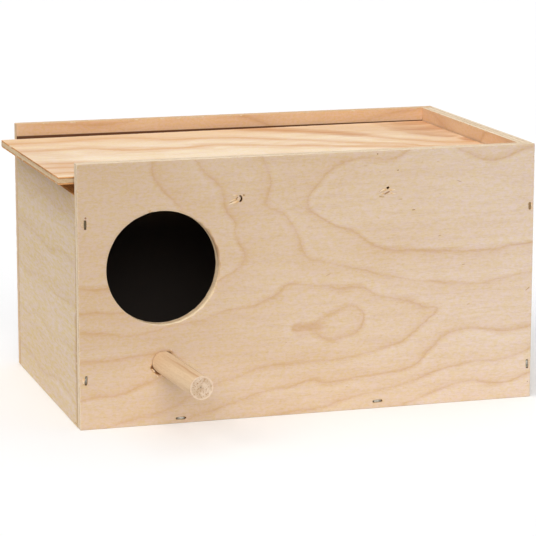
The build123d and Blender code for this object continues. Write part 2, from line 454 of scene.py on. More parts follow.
class Shell:
    """Points, faces and marks of one piece, gathered from grids and flat fills."""

    def __init__(self):
        self.points = []
        self.flat = []
        self.faces = []
        self.finishes = []
        self.marks = {name: [] for name in MARKS}
        self.count = 0

    def add(self, points, flat=None, **marks):
        """Take an array of points, with their place on the face and their marks, and give back
        their numbers in the same layout."""
        layout = points.shape[:-1]
        total = int(np.prod(layout))
        numbers = self.count + np.arange(total).reshape(layout)
        self.count += total
        self.points.append(points.reshape(-1, 3))
        self.flat.append(np.zeros((total, 2)) if flat is None else flat.reshape(-1, 2))
        for name in MARKS:
            value = np.broadcast_to(np.asarray(marks.get(name, 0.0), float), layout)
            self.marks[name].append(value.ravel())
        return numbers

    def grid(self, numbers, finish, close_rows=False, close_columns=False):
        """Four-sided faces between neighbouring rows and columns of point numbers."""
        if close_rows:
            numbers = np.concatenate([numbers, numbers[:1]], 0)
        if close_columns:
            numbers = np.concatenate([numbers, numbers[:, :1]], 1)
        corners = [numbers[:-1, :-1], numbers[1:, :-1], numbers[1:, 1:], numbers[:-1, 1:]]
        self.take(np.stack(corners, -1).reshape(-1, 4), finish)

    def cap(self, ring, finish):
        """Close a ring of points with a fan from its middle."""
        middle = self.add(np.concatenate(self.points)[ring].mean(0)[None])
        fan = np.stack([ring, np.roll(ring, -1), np.full_like(ring, middle[0])], -1)
        self.take(fan, finish)

    def take(self, faces, finish):
        """Take faces as rows of point numbers, all of one finish."""
        self.faces += faces.tolist()
        self.finishes += [finish] * len(faces)

    def piece(self, name, finishes, sharp=38):
        """The mesh as an object at the origin, in metres, with doubles merged, faces turned outwards
        and edges sharper than the given angle kept crisp."""
        mesh = bpy.data.meshes.new(name)
        mesh.from_pydata(np.concatenate(self.points) * MM, [], self.faces)
        mesh.polygons.foreach_set("material_index", np.array(self.finishes, np.int32))
        for mark in MARKS:
            layer = mesh.attributes.new(mark, "FLOAT", "POINT")
            layer.data.foreach_set("value", np.concatenate(self.marks[mark]).astype(np.float32))
        work = bmesh.new()
        work.from_mesh(mesh)
        bmesh.ops.remove_doubles(work, verts=work.verts, dist=1e-7)
        bmesh.ops.recalc_face_normals(work, faces=work.faces)
        work.to_mesh(mesh)
        work.free()
        for finish in finishes:
            mesh.materials.append(finish)
        mesh.shade_smooth()
        mesh.set_sharp_from_angle(angle=np.radians(sharp))
        made = bpy.data.objects.new(name, mesh)
        bpy.context.scene.collection.objects.link(made)
        return made


class Face:
    """Where a board lies: the lower left corner of its outer face as seen from outside, the
    directions right and up along the face, and the thickness behind it."""

    def __init__(self, node, right, up):
        low, high = (np.array(corner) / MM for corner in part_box(node))
        self.right = np.array(right, float)
        self.up = np.array(up, float)
        self.out = np.cross(self.right, self.up)
        span = high - low
        self.size = (abs(self.right @ span), abs(self.up @ span))
        self.thick = abs(self.out @ span)
        middle = (low + high) / 2
        reach = self.right * self.size[0] + self.up * self.size[1] - self.out * self.thick
        self.corner = middle - reach / 2

    def lay(self, flat, depth):
        """Points in the frame from their place on the face and their depth behind it."""
        depth = np.asarray(depth, float)[..., None]
        return self.corner + flat[..., :1] * self.right + flat[..., 1:] * self.up - depth * self.out


class LidFace(Face):
    """Where the lid lies: its face is spread evenly between its four corners."""

    def __init__(self):
        self.size = LID_SIZE
        self.thick = LID_THICK

    def lay(self, flat, depth):
        """Points in the frame from their place between the corners and their depth under the top."""
        right, up = flat[..., :1] / self.size[0], flat[..., 1:] / self.size[1]
        front = LID_CORNERS[0] * (1 - right) + LID_CORNERS[1] * right
        back = LID_CORNERS[3] * (1 - right) + LID_CORNERS[2] * right
        outline = front * (1 - up) + back * up
        height = np.broadcast_to(LID_TOP - np.asarray(depth, float), outline.shape[:-1])
        return np.concatenate([outline, height[..., None]], -1)


# Boards

OUTER, INNER, EDGE, HOLE_EDGE = 0, 1, 2, 3


def wall(shell, face, path, inward, inset, depth, torn, stain=0.0, lean=0.0):
    """A strip round a closed path: each point of the path is carried into the wood by its inset and
    behind the face by its depth, both given for every point and every row of the profile, and a lean
    carries it to the left by the depth times the tangent. It is marked with its share of end grain."""
    flat = path[:, None] + inward[:, None] * inset[..., None]
    flat[..., 0] -= depth * np.tan(lean)
    grain = inward[:, 0] / np.maximum(np.hypot(*inward.T), 1e-9)
    across = np.broadcast_to((grain ** 2)[:, None], inset.shape)
    return shell.add(face.lay(flat, depth), flat, torn=torn, depth=depth, across=across, stain=stain)


def sawn_profile(run, across, thick, layers, ease, chips, rough, seed, margin):
    """Inset, depth and torn share across a sawn edge, for every point along it: a flat margin, a round
    arris whose radius wavers and swells at chips, the edge with a groove at each glue line and rough end
    grain, and the second arris and margin. An arris well wider than its ease is torn."""
    draw = np.random.default_rng(seed)
    bend = np.linspace(0, np.pi / 2, ARRIS_ROWS)
    share = np.linspace(0, 1, PLY_ROWS + 2)[1:-1]
    count = len(run)
    radius = []
    for side in range(2):
        waver = ease[side] * (0.75 + 0.25 * closed_ripple(run, ARRIS_WAVE, seed + 10 + side))
        chip = chips * scattered_dips(run, int(run[-1] / CHIP_EVERY), CHIP_WIDTH, seed + 20 + side)
        radius.append(np.clip(waver + chip, LEAST_ARRIS, 0.92 * margin)[:, None])
    front, back = radius
    middle = front + (thick - front - back) * share
    ply = np.interp(middle / thick, layers, np.arange(len(layers)))
    end_grain = np.where(np.floor(ply) % 2 == 0, across[:, None], 1 - across[:, None])
    seam = np.array(layers[1:-1] or (-1.0,)) * thick
    groove = 0.5 * np.exp(-((middle[..., None] - seam) / GLUE_GROOVE) ** 2).max(-1)
    saw = 0.5 + 0.5 * closed_ripple(run, SAW_WAVE, seed + 30)[:, None]
    fuzz = draw.uniform(0, 1, (count, len(share)))
    relief = rough * (0.25 * saw + groove + end_grain * (0.35 + 0.9 * fuzz) + 0.25 * fuzz)
    flat_margin = np.full((count, 1), margin)
    inset = np.concatenate([
        flat_margin,
        front * (1 - np.sin(bend)) + rough * 0.3 * saw * np.sin(bend),
        relief,
        back * (1 - np.cos(bend)) + rough * 0.3 * saw * np.cos(bend),
        flat_margin,
    ], 1)
    depth = np.concatenate([
        np.zeros((count, 1)),
        front * (1 - np.cos(bend)),
        middle,
        thick - back * (1 - np.sin(bend)),
        np.full((count, 1), thick),
    ], 1)
    chipped = [
        np.clip((width / np.reshape(usual, (-1, 1)) - 1.15) / 0.5, 0, 1) * np.ones((1, len(bend)))
        for width, usual in zip(radius, ease)
    ]
    none = np.zeros((count, 1))
    torn = np.concatenate([none, chipped[0], np.zeros_like(middle), chipped[1], none], 1)
    return inset, depth, torn


def edge_strip(shell, numbers, edge=EDGE, inner_rows=VENEER_ROWS):
    """Faces of a sawn edge: veneer on the margins and the start of each arris, plies between."""
    last = numbers.shape[1] - inner_rows
    strips = [(0, VENEER_ROWS, OUTER), (VENEER_ROWS - 1, last + 1, edge), (last, None, INNER)]
    for start, stop, finish in strips:
        shell.grid(numbers[:, start:stop], finish, close_rows=True)


def flat_fill(shell, face, loops, depth, spacing, finish, seed):
    """A flat face between closed loops, the first one outside and the rest holes: triangles over the
    loops' points and a scatter of inner points, as even as a Delaunay net makes them."""
    flat = np.concatenate(shell.flat)
    rims = [flat[loop] for loop in loops]
    low, high = rims[0].min(0) + spacing / 2, rims[0].max(0) - spacing / 2
    steps = [np.linspace(start, stop, max(2, int((stop - start) / spacing)))
             for start, stop in zip(low, high)]
    inner = np.stack(np.meshgrid(*steps), -1).reshape(-1, 2)
    scatter, clearance = 0.25, 0.6
    inner += np.random.default_rng(seed).uniform(-scatter, scatter, inner.shape) * spacing
    rim = np.concatenate(rims)
    near = ((inner[:, None] - rim[None]) ** 2).sum(-1).min(1) < (clearance * spacing) ** 2
    for hole in rims[1:]:
        near |= inside_loop(inner, hole)
    inner = inner[~near]
    added = shell.add(face.lay(inner, np.full(len(inner), depth)), inner, depth=depth)
    numbers = np.concatenate(loops + [added])
    places = np.concatenate([rim, inner])
    ends = np.cumsum([0] + [len(loop) for loop in loops])
    rings = [np.arange(first, after) for first, after in zip(ends[:-1], ends[1:])]
    sides = [np.stack([ring, np.roll(ring, -1)], -1) for ring in rings]
    within_sides, nearest = 1, 1e-6
    net = delaunay_2d_cdt(places.tolist(), np.concatenate(sides).tolist(), [], within_sides, nearest)
    _, _, faces, sources, _, _ = net
    origin = np.array([source[0] for source in sources])
    triangles = origin[np.array(faces)]
    middles = places[triangles].mean(1)
    keep = np.ones(len(triangles), bool)
    for hole in rims[1:]:
        keep &= ~inside_loop(middles, hole)
    shell.take(numbers[triangles[keep]], finish)


def gouge(shell, face, route, reaches, depth, torn, stain):
    """A groove sunk into a face along a short route: each row carries the route out to the left and to
    the right by the row's two reaches, at the row's depth, and the floor is closed across the route.
    A narrow collar round it lies flat on the face. Reaches are given by row, side and point, the rest by
    row and point. Gives the outermost loop."""
    reaches = np.concatenate([reaches[:1] + COLLAR, reaches])
    depth, torn, stain = (np.concatenate([0 * value[:1], value]) for value in (depth, torn, stain))
    heading = np.gradient(route, axis=0)
    heading /= np.hypot(*heading.T)[:, None]
    ends = np.zeros(len(route))
    ends[[0, -1]] = -COLLAR, COLLAR
    collared = route + heading * ends[:, None]
    aside = np.stack([-heading[:, 1], heading[:, 0]], -1)
    spine = np.stack([collared] + [route] * (len(reaches) - 1), 1)
    left = spine + aside[:, None] * reaches[:, 0].T[..., None]
    right = spine - aside[:, None] * reaches[:, 1].T[..., None]
    flat = np.concatenate([left, right[::-1]])
    count = len(route)
    shape = (len(reaches), count)
    layers = [np.broadcast_to(value, shape).T for value in (depth, torn, stain)]
    deep, raw, dark = (np.concatenate([layer, layer[::-1]]) for layer in layers)
    numbers = shell.add(face.lay(flat, deep), flat, torn=raw, depth=deep, stain=dark)
    shell.grid(numbers, OUTER, close_rows=True)
    floor = np.stack([numbers[:count, -1], numbers[count:, -1][::-1]], 1)
    shell.grid(floor, OUTER)
    return numbers[:, 0]


def rounded(share, power, least):
    """Half width of a stroke along its length from -1 to 1: one minus the place to a power, all to one
    over that power, so full in the middle and round at the ends, and never under the least."""
    return np.maximum((1 - np.abs(share) ** power) ** (1 / power), least)


def staple_seat(shell, face, staple, seed):
    """What a driven staple leaves in the face: a slit just wider than the crown, dark at its ends,
    inside a shallow torn patch that the tears, each a ragged bell along the crown, push out on either
    side."""
    along, up, turn, half, _, tears = staple
    draw = np.random.default_rng(seed)
    share = np.sin(np.linspace(-np.pi / 2, np.pi / 2, 27))
    route = np.array([along, up]) + share[:, None] * half * heading_of(turn)
    slit = (WIRE_ACROSS / 2 + SLIT_ROOM) * rounded(share, power=4, least=0.12)
    reach = np.full((2, len(share)), LEAST_TEAR)
    for side, spot, length, spread in tears:
        bell = np.exp(-((share - spot) / spread) ** 2)
        reach[side] += length * bell * draw.uniform(0.75, 1.1, len(share))
    ends = np.clip((np.abs(share) - 0.5) / 0.3, 0, 1)
    level, depth, torn, stain, end_stain = columns(SEAT_ROWS)
    reaches = slit + reach * level[..., None]
    return gouge(shell, face, route, reaches, depth, torn, stain + ends * end_stain)


def buried_crown(shell, face, place, strokes):
    """The veneer over a crown that went in deep: each stroke is a route with half widths, sunk deep and
    dark where it cracked, with painted shade at its floor, less where it split, shallow and raw where it
    tore. Gives one loop for each."""
    count = 15
    taper = rounded(np.linspace(-1, 1, count), power=4, least=0.2)
    loops = []
    for kind, points, widths in strokes:
        corners = np.arange(len(points))
        steps = np.linspace(0, len(points) - 1, count)
        route = np.stack([np.interp(steps, corners, axis) for axis in np.array(points).T], -1)
        half = np.interp(steps, corners, widths) * taper
        level, depth, torn, stain = columns(STROKE_ROWS[kind])
        reaches = level[..., None] * np.stack([half, half])
        loops.append(gouge(shell, face, np.array(place[:2]) + route, reaches, depth, torn, stain))
    return loops


def fleck_pit(shell, face, fleck, seed):
    """A dark inclusion: a short stroke of round ends and drawn ragged sides, sunk a little into the
    face."""
    along, up, length, width, turn, strength = fleck
    share = np.linspace(-1, 1, 7)
    route = np.array([along, up]) + share[:, None] * length / 2 * heading_of(turn)
    ragged = np.random.default_rng(seed).uniform(0.7, 1.15, (2, len(share)))
    half = width / 2 * rounded(share, power=2, least=0.2) * ragged
    level, depth, torn, stain = columns(STROKE_ROWS["fleck"])
    return gouge(shell, face, route, level[..., None] * half, depth, torn, stain * strength)


def entrance_rim(shell, face):
    """The entrance through the board: a circle carrying a slightly chipped edge, eased most at its
    right side, where the birds rub past. Wear with painted shade is a bell of the direction, a painted
    highlight of raw pale wood lies on the arris at the top and bottom, most to the right, and grime lies
    low in the hole."""
    path, inward = circle_path(ENTRANCE, ENTRANCE_RADIUS, ENTRANCE_POINTS)
    run = path_run(path)
    across = inward[:, 0] ** 2
    mask_share = np.clip(0.2 + 0.9 * inward[:, 0], 0, 1)
    ease = (ENTRANCE_EASE[0] * (0.3 + 0.7 * mask_share), ENTRANCE_EASE[1])
    inset, depth, torn = sawn_profile(run, across, face.thick, BOARD_LAYERS, ease, chips=0.4, rough=0.1,
                                      seed=71, margin=ENTRANCE_MARGIN)
    angle = np.arctan2(inward[:, 1], inward[:, 0])
    # Wear with painted shade, darkest on the edge towards the upper right
    worn_and_shaded = 0.05 + 0.8 * np.exp(-((angle - np.radians(WORN_SHADE_TOWARD)) / np.radians(WORN_SHADE_SPREAD)) ** 2)
    # Painted highlight: pale raw wood on the arris at the top and the bottom, most where the edge is eased
    painted_highlight = np.clip(np.abs(inward[:, 1:]) * 1.2 - 0.5, 0, 0.6) * mask_share[:, None]
    torn[:, 1:3] = np.maximum(torn[:, 1:3], np.array([0.2, 0.45]) * painted_highlight)
    stain = np.zeros_like(depth)
    stain[:, 1:9] = RIM_WEAR_AND_SHADE * worn_and_shaded[:, None]
    low = np.clip(0.3 - 1.2 * inward[:, 1], 0, 1) * np.clip(0.7 + 0.4 * closed_ripple(run, 9.0, 75), 0, 1)
    stain[:, 8:16] += RIM_GRIME * low[:, None]
    numbers = wall(shell, face, path, inward, inset, depth, torn, stain)
    edge_strip(shell, numbers, HOLE_EDGE, inner_rows=1)
    return numbers


def perch_mouth(shell, face):
    """The hole for the perch, leaning with it: a circle whose edge is broken out at the lower left and
    a little at the upper right, as bells of the direction, narrowing to the dowel within the board."""
    path, inward = circle_path(PERCH_SPOT, PERCH_RADIUS, PERCH_POINTS)
    angle = np.arctan2(inward[:, 1], inward[:, 0])
    run = path_run(path)
    broken = np.zeros(len(run))
    for toward, size, spread in MOUTH_BREAKS:
        gap = (angle - np.radians(toward) + np.pi) % TURN - np.pi
        broken += size * np.exp(-(gap / np.radians(spread)) ** 2)
    broken *= 1 + 0.18 * closed_ripple(run, 2.2, 81)
    # Rows from the flat round the mouth to the inner face: depth, share of what is broken out, width
    # beyond the hole, torn and stain
    depth, share, beyond, torn, stain = np.array([
        (0.0, 0.0, 3.4, 0.0, 0.0),
        (0.0, 0.0, 2.0, 0.0, 0.0),
        (0.0, 0.3, 1.2, 0.0, 0.35),
        (0.0, 0.6, 0.6, 0.25, 0.7),
        (0.0, 1.0, 0.09, 0.35, 0.8),
        (0.2, 0.8, 0.06, 0.0, 0.85),
        (0.45, 0.5, 0.03, 0.0, 0.9),
        (0.8, 0.1, 0.0, 0.0, 0.9),
        (3.2, 0.0, 0.0, 0.0, 0.9),
        (face.thick - 0.3, 0.0, 0.02, 0.0, 0.0),
        (face.thick, 0.0, 0.3, 0.0, 0.0),
        (face.thick, 0.0, 1.2, 0.0, 0.0),
    ]).T
    inset = broken[:, None] * share + beyond
    opened = np.clip(broken / 0.45, 0, 1)[:, None]
    ragged = np.clip(0.6 + 0.5 * closed_ripple(run, 1.8, 83), 0, 1)[:, None]
    numbers = wall(shell, face, path, inward, inset, np.broadcast_to(depth, inset.shape),
                   torn * opened * ragged, stain * (0.2 + 0.8 * opened), PERCH_LEAN)
    shell.grid(numbers[:, :8], OUTER, close_rows=True)
    shell.grid(numbers[:, 7:11], HOLE_EDGE, close_rows=True)
    shell.grid(numbers[:, 10:], INNER, close_rows=True)
    return numbers


def board(name, face, finishes, growths, seed, layers=BOARD_LAYERS, ease=FACE_ARRIS, chips=0.3, rough=0.07,
          spacing=4.0, openings=(), staples=(), buried=(), flecks=(), stains=()):
    """A sawn board: its edge is a profile carried round its outline, its two faces are flat fills
    between that edge and whatever opens them, and each face carries its own growth number. Stains on
    the outer face are flat-topped bells of the distance to a route."""
    shell = Shell()
    path, inward = rectangle_path(face.size, BOARD_CORNER, EDGE_STEP)
    run = path_run(path)
    across = np.clip((inward[:, 0] / np.hypot(*inward.T)) ** 2, 0, 1)
    profile = sawn_profile(run, np.round(across), face.thick, layers, ease, chips, rough, seed, MARGIN)
    rim = wall(shell, face, path, inward, *profile)
    edge_strip(shell, rim)
    holes = [opening(shell, face) for opening in openings]
    pits = [staple_seat(shell, face, staple, seed + 40 + n) for n, staple in enumerate(staples)]
    for place, strokes in buried:
        pits += buried_crown(shell, face, place, strokes)
    pits += [fleck_pit(shell, face, fleck, seed + 60 + n) for n, fleck in enumerate(flecks)]
    outer = [rim[:, 0]] + [hole[:, 0] for hole in holes] + pits
    inner = [rim[:, -1]] + [hole[:, -1] for hole in holes]
    flat_fill(shell, face, outer, 0.0, spacing, OUTER, seed + 1)
    flat_fill(shell, face, inner, face.thick, 2 * spacing, INNER, seed + 2)
    flat, depth = np.concatenate(shell.flat), np.concatenate(shell.marks["depth"])
    outside = depth < face.thick / 2
    shell.marks["growth"] = [np.where(outside, growths[0](flat), growths[1](flat))]
    shell.marks["spacing"] = [np.where(outside, *(ring_spacing(growth, flat) for growth in growths))]
    shell.marks["depth"] = [np.interp(depth / face.thick, layers, np.arange(len(layers)))]
    stain = np.concatenate(shell.marks["stain"])
    for route, width, strength in stains:
        soft = strength * np.exp(-(distance_to_route(flat, route) / width) ** 4)
        stain = np.maximum(stain, soft * outside)
    shell.marks["stain"] = [stain]
    return shell.piece(name, finishes)


# Perch, staples and splinters

def perch_axes():
    """Root of the perch on the front face, and its directions along, sideways and up."""
    root = FRONT.lay(PERCH_SPOT, 0.0)
    along = np.array([np.sin(PERCH_LEAN), -np.cos(PERCH_LEAN), 0])
    sideways = np.array([np.cos(PERCH_LEAN), np.sin(PERCH_LEAN), 0])
    return root, along, sideways, np.array([0.0, 0, 1])


def perch_dowel(finishes):
    """The dowel: rings carried along its axis, faintly flatted by the machine that turned it, as cosines
    of the angle. The saw left a burr round the outer end, as rings that flare and turn in, and a rough
    end inside it, as rings shrinking to the middle."""
    root, along, sideways, up = perch_axes()
    angle = np.arange(PERCH_POINTS) * TURN / PERCH_POINTS
    shaft = np.linspace(PERCH_BUTT_LENGTH - PERCH_INSIDE, PERCH_REACH - PERCH_TIP_LENGTH, SHAFT_ROWS)
    butt = np.full(len(PERCH_BUTT), -PERCH_INSIDE)
    tip_reach, tip_radius = PERCH_TIP.T
    reach = np.concatenate([butt, shaft, PERCH_REACH + tip_reach])
    radius = np.concatenate([PERCH_RADIUS * PERCH_BUTT, np.full(SHAFT_ROWS, PERCH_RADIUS), tip_radius])
    reach, radius = reach[:, None], radius[:, None]
    crest = len(butt) + SHAFT_ROWS + BURR_CREST
    flats = 0.02 * np.cos(9 * angle + 0.7) + 0.015 * np.cos(14 * angle)
    burr = closed_ripple(angle * PERCH_RADIUS, 2.4, 92)
    flare = np.interp(reach, PERCH_REACH + tip_reach[[0, BURR_CREST]], [0, 1]) * (radius > BURR_INSIDE)
    draw = np.random.default_rng(91)
    size = radius - PERCH_ROOM + flats * (radius > 4) + 0.05 * flare * burr
    sawn = (np.arange(len(reach)) > crest + 2)[:, None] * (radius > 0)
    push = reach - 0.1 * sawn * draw.uniform(0, 1, size.shape) + 0.05 * flare * burr
    circle = np.cos(angle)[:, None] * sideways + np.sin(angle)[:, None] * up
    shell = Shell()
    numbers = shell.add(root + push[..., None] * along + size[..., None] * circle)
    shell.grid(numbers[:crest + 1], 0, close_columns=True)
    shell.grid(numbers[crest:], 1, close_columns=True)
    return shell.piece("perch_rod", finishes, sharp=60)


def staple_wires(name, face, places, sink, finish):
    """Staples: a rounded section of wire, with the roots of cosine and sine as its half widths, carried
    up one leg, over the slightly bowed crown and down the other, with the ends cut to chisel points."""
    half = CROWN / 2 - WIRE_THROUGH / 2
    bend = np.linspace(0, np.pi / 2, 7)
    top = -sink - WIRE_THROUGH / 2
    foot = -sink - LEG
    leg = np.stack([np.full(10, half), np.linspace(foot, top - CROWN_BEND, 10)], -1)
    inner = half - CROWN_BEND
    corner = np.stack([inner + CROWN_BEND * np.cos(bend), top - CROWN_BEND + CROWN_BEND * np.sin(bend)], -1)
    right = np.concatenate([leg, corner[1:]])
    across = np.linspace(inner, -inner, 11)[1:-1]
    middle = np.stack([across, top + CROWN_BOW * (1 - (across / inner) ** 2)], -1)
    line = np.concatenate([right, middle, right[::-1] * np.array([-1, 1])])
    heading = np.gradient(line, axis=0)
    heading /= np.hypot(*heading.T)[:, None]
    outward = np.stack([heading[:, 1], -heading[:, 0]], -1)
    angle = np.arange(20) * TURN / 20
    wide = WIRE_ACROSS / 2 * np.sign(np.cos(angle)) * np.abs(np.cos(angle)) ** 0.5
    thick = WIRE_THROUGH / 2 * np.sign(np.sin(angle)) * np.abs(np.sin(angle)) ** 0.5
    section = line[:, None] + thick[None, :, None] * outward[:, None]
    point = np.clip((foot + CHISEL - line[:, 1]) / CHISEL, 0, 1)[:, None]
    section[..., 1] += point * (thick + WIRE_THROUGH / 2)
    shell = Shell()
    for along, up, turn, *rest in places:
        grime = rest[1] if rest else BURIED_GRIME
        crown = heading_of(turn)
        side = heading_of(turn + 90)
        flat = np.array([along, up]) + section[..., :1] * crown + wide[None, :, None] * side
        ends = np.clip((np.abs(section[..., 0]) - CLEAN_CROWN) / CLEAN_FADE, 0, 1)
        dull = grime + 0.7 * (1 - min(grime, 1)) * ends
        numbers = shell.add(face.lay(flat, -section[..., 1]), stain=dull)
        shell.grid(numbers, 0, close_columns=True)
        shell.cap(numbers[0], 0)
        shell.cap(numbers[-1], 0)
    return shell.piece(name, [finish])


def splinters(name, face, slivers, finish, seed):
    """Torn slivers: each runs from its root along its heading, rises from the face with the square of
    the distance, and is a thin ridged blade whose width follows half a sine, widest near the root and
    closed to a point."""
    draw = np.random.default_rng(seed)
    spots = np.array(slivers, float)
    roots = face.lay(spots[:, :2], np.full(len(spots), SLIVER_ROOT))
    turn = np.radians(spots[:, 2:3])
    headings = np.cos(turn) * face.right + np.sin(turn) * face.up
    side = np.cross(face.out, headings)
    lengths, widths = spots[:, 3:4], spots[:, 4:5]
    share = np.linspace(0, 1, 9)
    ridge, keel = 0.3, 0.15
    rise = draw.uniform(0.03, 0.14, (len(spots), 1))
    sway = draw.uniform(-0.12, 0.12, (len(spots), 1))
    spine = roots[:, None] + headings[:, None] * (lengths * share)[..., None]
    spine = spine + face.out * (rise * lengths * share ** 2)[..., None]
    spine = spine + side[:, None] * (sway * lengths * share ** 2)[..., None]
    wide = (widths * np.sin(np.pi * share ** 0.6))[..., None]
    ring = np.stack([
        spine + side[:, None] * wide / 2,
        spine + face.out * wide * ridge,
        spine - side[:, None] * wide / 2,
        spine - face.out * wide * keel,
    ], 2)
    shell = Shell()
    numbers = shell.add(ring, torn=np.broadcast_to(share[None, :, None], ring.shape[:-1]))
    for blade in numbers:
        shell.grid(blade, 0, close_columns=True)
    return shell.piece(name, [finish], sharp=60)


# Node trees

class Wire:
    """An output in a node tree that takes part in plain arithmetic."""

    def __init__(self, tree, socket):
        self.tree = tree
        self.socket = socket

    def __add__(self, other):
        return self.tree.math("ADD", self, other)

    def __sub__(self, other):
        return self.tree.math("SUBTRACT", self, other)

    def __rsub__(self, other):
        return self.tree.math("SUBTRACT", other, self)

    def __mul__(self, other):
        return self.tree.math("MULTIPLY", self, other)

    def __truediv__(self, other):
        return self.tree.math("DIVIDE", self, other)


class Tree:
    """Short names for the nodes of one tree; each call adds a node and gives back its output."""

    def __init__(self, tree):
        self.tree = tree

    def add(self, kind, inputs=None, out=0, **settings):
        """Add a node of the given kind, set it, and link or fill its inputs."""
        node = self.tree.nodes.new("ShaderNode" + kind)
        count = len(self.tree.nodes)
        node.location = (180 * (count % 16), -220 * (count // 16))
        for key, value in settings.items():
            setattr(node, key, value)
        self.feed(node, inputs or {})
        return Wire(self, node.outputs[out])

    def feed(self, node, inputs):
        """Link or fill the inputs of a node."""
        for key, value in inputs.items():
            if isinstance(value, Wire):
                self.tree.links.new(value.socket, node.inputs[key])
            else:
                node.inputs[key].default_value = value

    def math(self, operation, *terms):
        """One step of arithmetic on outputs and numbers."""
        return self.add("Math", dict(enumerate(terms)), operation=operation)

    def bell(self, value, width):
        """One where the value is zero, falling as a bell of the given width."""
        scaled = value / width
        return self.math("EXPONENT", scaled * scaled * -1.0)

    def fade(self, value, start, end, low=0.0, high=1.0):
        """Smooth step from low to high as the value goes from start to end."""
        limits = {"Value": value, "From Min": start, "From Max": end, "To Min": low, "To Max": high}
        return self.add("MapRange", limits, interpolation_type="SMOOTHSTEP")

    def stretch(self, place, sizes, shift=(0.0, 0.0, 0.0)):
        """The place in units of the given sizes, moved by a shift."""
        scale = tuple(1 / size for size in sizes)
        return self.add("VectorMath", {0: place, 1: scale, 2: shift}, operation="MULTIPLY_ADD")

    def noise(self, place, length, width, detail, roughness=0.5, shift=(0.0, 0.0, 0.0)):
        """Soft noise about one half, with features of the given length along the grain and width across
        it, in millimetres."""
        scaled = self.stretch(place, (length, width, width), shift)
        inputs = {"Vector": scaled, "Scale": 1.0, "Detail": detail, "Roughness": roughness}
        return self.add("TexNoise", inputs)

    def mix(self, share, first, second):
        """From the first colour to the second by the share."""
        return self.add("Mix", {0: share, 6: first, 7: second}, out=2, data_type="RGBA")

    def cover(self, colour, tone, value, start, end, most=1.0):
        """The colour giving way to a tone as the value goes from start to end, up to the given share."""
        return self.mix(self.fade(value, start, end, 0.0, most), colour, tone)

    def tint(self, colour, shade):
        """One colour times another."""
        inputs = {0: 1.0, 6: colour, 7: shade}
        return self.add("Mix", inputs, out=2, data_type="RGBA", blend_type="MULTIPLY")

    def mark(self, name):
        """A mark carried by the mesh."""
        return self.add("Attribute", out=2, attribute_name=name)

    def parts(self, vector):
        """The three parts of a vector."""
        outputs = self.add("SeparateXYZ", {0: vector}).socket.node.outputs
        return [Wire(self, socket) for socket in outputs]

    def place(self, axes, shift=(0.0, 0.0, 0.0)):
        """The point in millimetres with the grain along the first of the named axes."""
        parts = self.parts(self.add("TexCoord", out=3))
        turned = self.add("CombineXYZ", {n: parts["XYZ".index(axis)] for n, axis in enumerate(axes)})
        return self.stretch(turned, (MM, MM, MM), shift)

    def use(self, group, **inputs):
        """Place a group and give back its outputs by name."""
        node = self.add("Group", inputs, node_tree=group).socket.node
        return {socket.name: Wire(self, socket) for socket in node.outputs}


def paint(red, green, blue):
    """A colour as seen on a screen, 0 to 255, in linear light."""
    screen = np.array([red, green, blue]) / 255
    light = np.where(screen <= 0.04045, screen / 12.92, ((screen + 0.055) / 1.055) ** 2.4)
    return (*light.tolist(), 1.0)


def new_group(name, inputs, outputs):
    """An empty node group with the named sockets. Gives a tree to work in, its inputs and a function that
    leads values to its outputs and gives the group."""
    tree = bpy.data.node_groups.new(name, "ShaderNodeTree")
    for label, kind in inputs:
        tree.interface.new_socket(label, in_out="INPUT", socket_type="NodeSocket" + kind)
    for label in outputs:
        tree.interface.new_socket(label, in_out="OUTPUT", socket_type="NodeSocketFloat")
    work = Tree(tree)
    start = tree.nodes.new("NodeGroupInput")
    end = tree.nodes.new("NodeGroupOutput")

    def give(**values):
        work.feed(end, values)
        return tree

    return work, [Wire(work, start.outputs[label]) for label, _ in inputs], give


def grain_fibres_group():
    """Streaks along the grain, short dark pores, fine mottling and slow blotches, for any wood in its
    grain frame."""
    outputs = ["Streak", "Pore", "Mottle", "Blotch"]
    work, (place,), give = new_group("grain fibres", [("Place", "Vector")], outputs)
    fine = work.noise(place, 5.5, 0.42, 3.0, 0.6)
    broad = work.noise(place, 42.0, 2.4, 2.0, 0.5, (3.0, 7.0, 1.0))
    pore = work.fade(work.noise(place, 2.6, 0.34, 1.0, 0.5, (9.0, 2.0, 4.0)), 0.6, 0.74)
    mottle = work.noise(place, 2.2, 1.5, 3.0, 0.7, (1.0, 5.0, 3.0))
    blotch = work.noise(place, 52.0, 24.0, 2.0, 0.5, (5.0, 1.0, 8.0))
    return give(Streak=fine * 0.66 + broad * 0.34, Pore=pore, Mottle=mottle, Blotch=blotch)


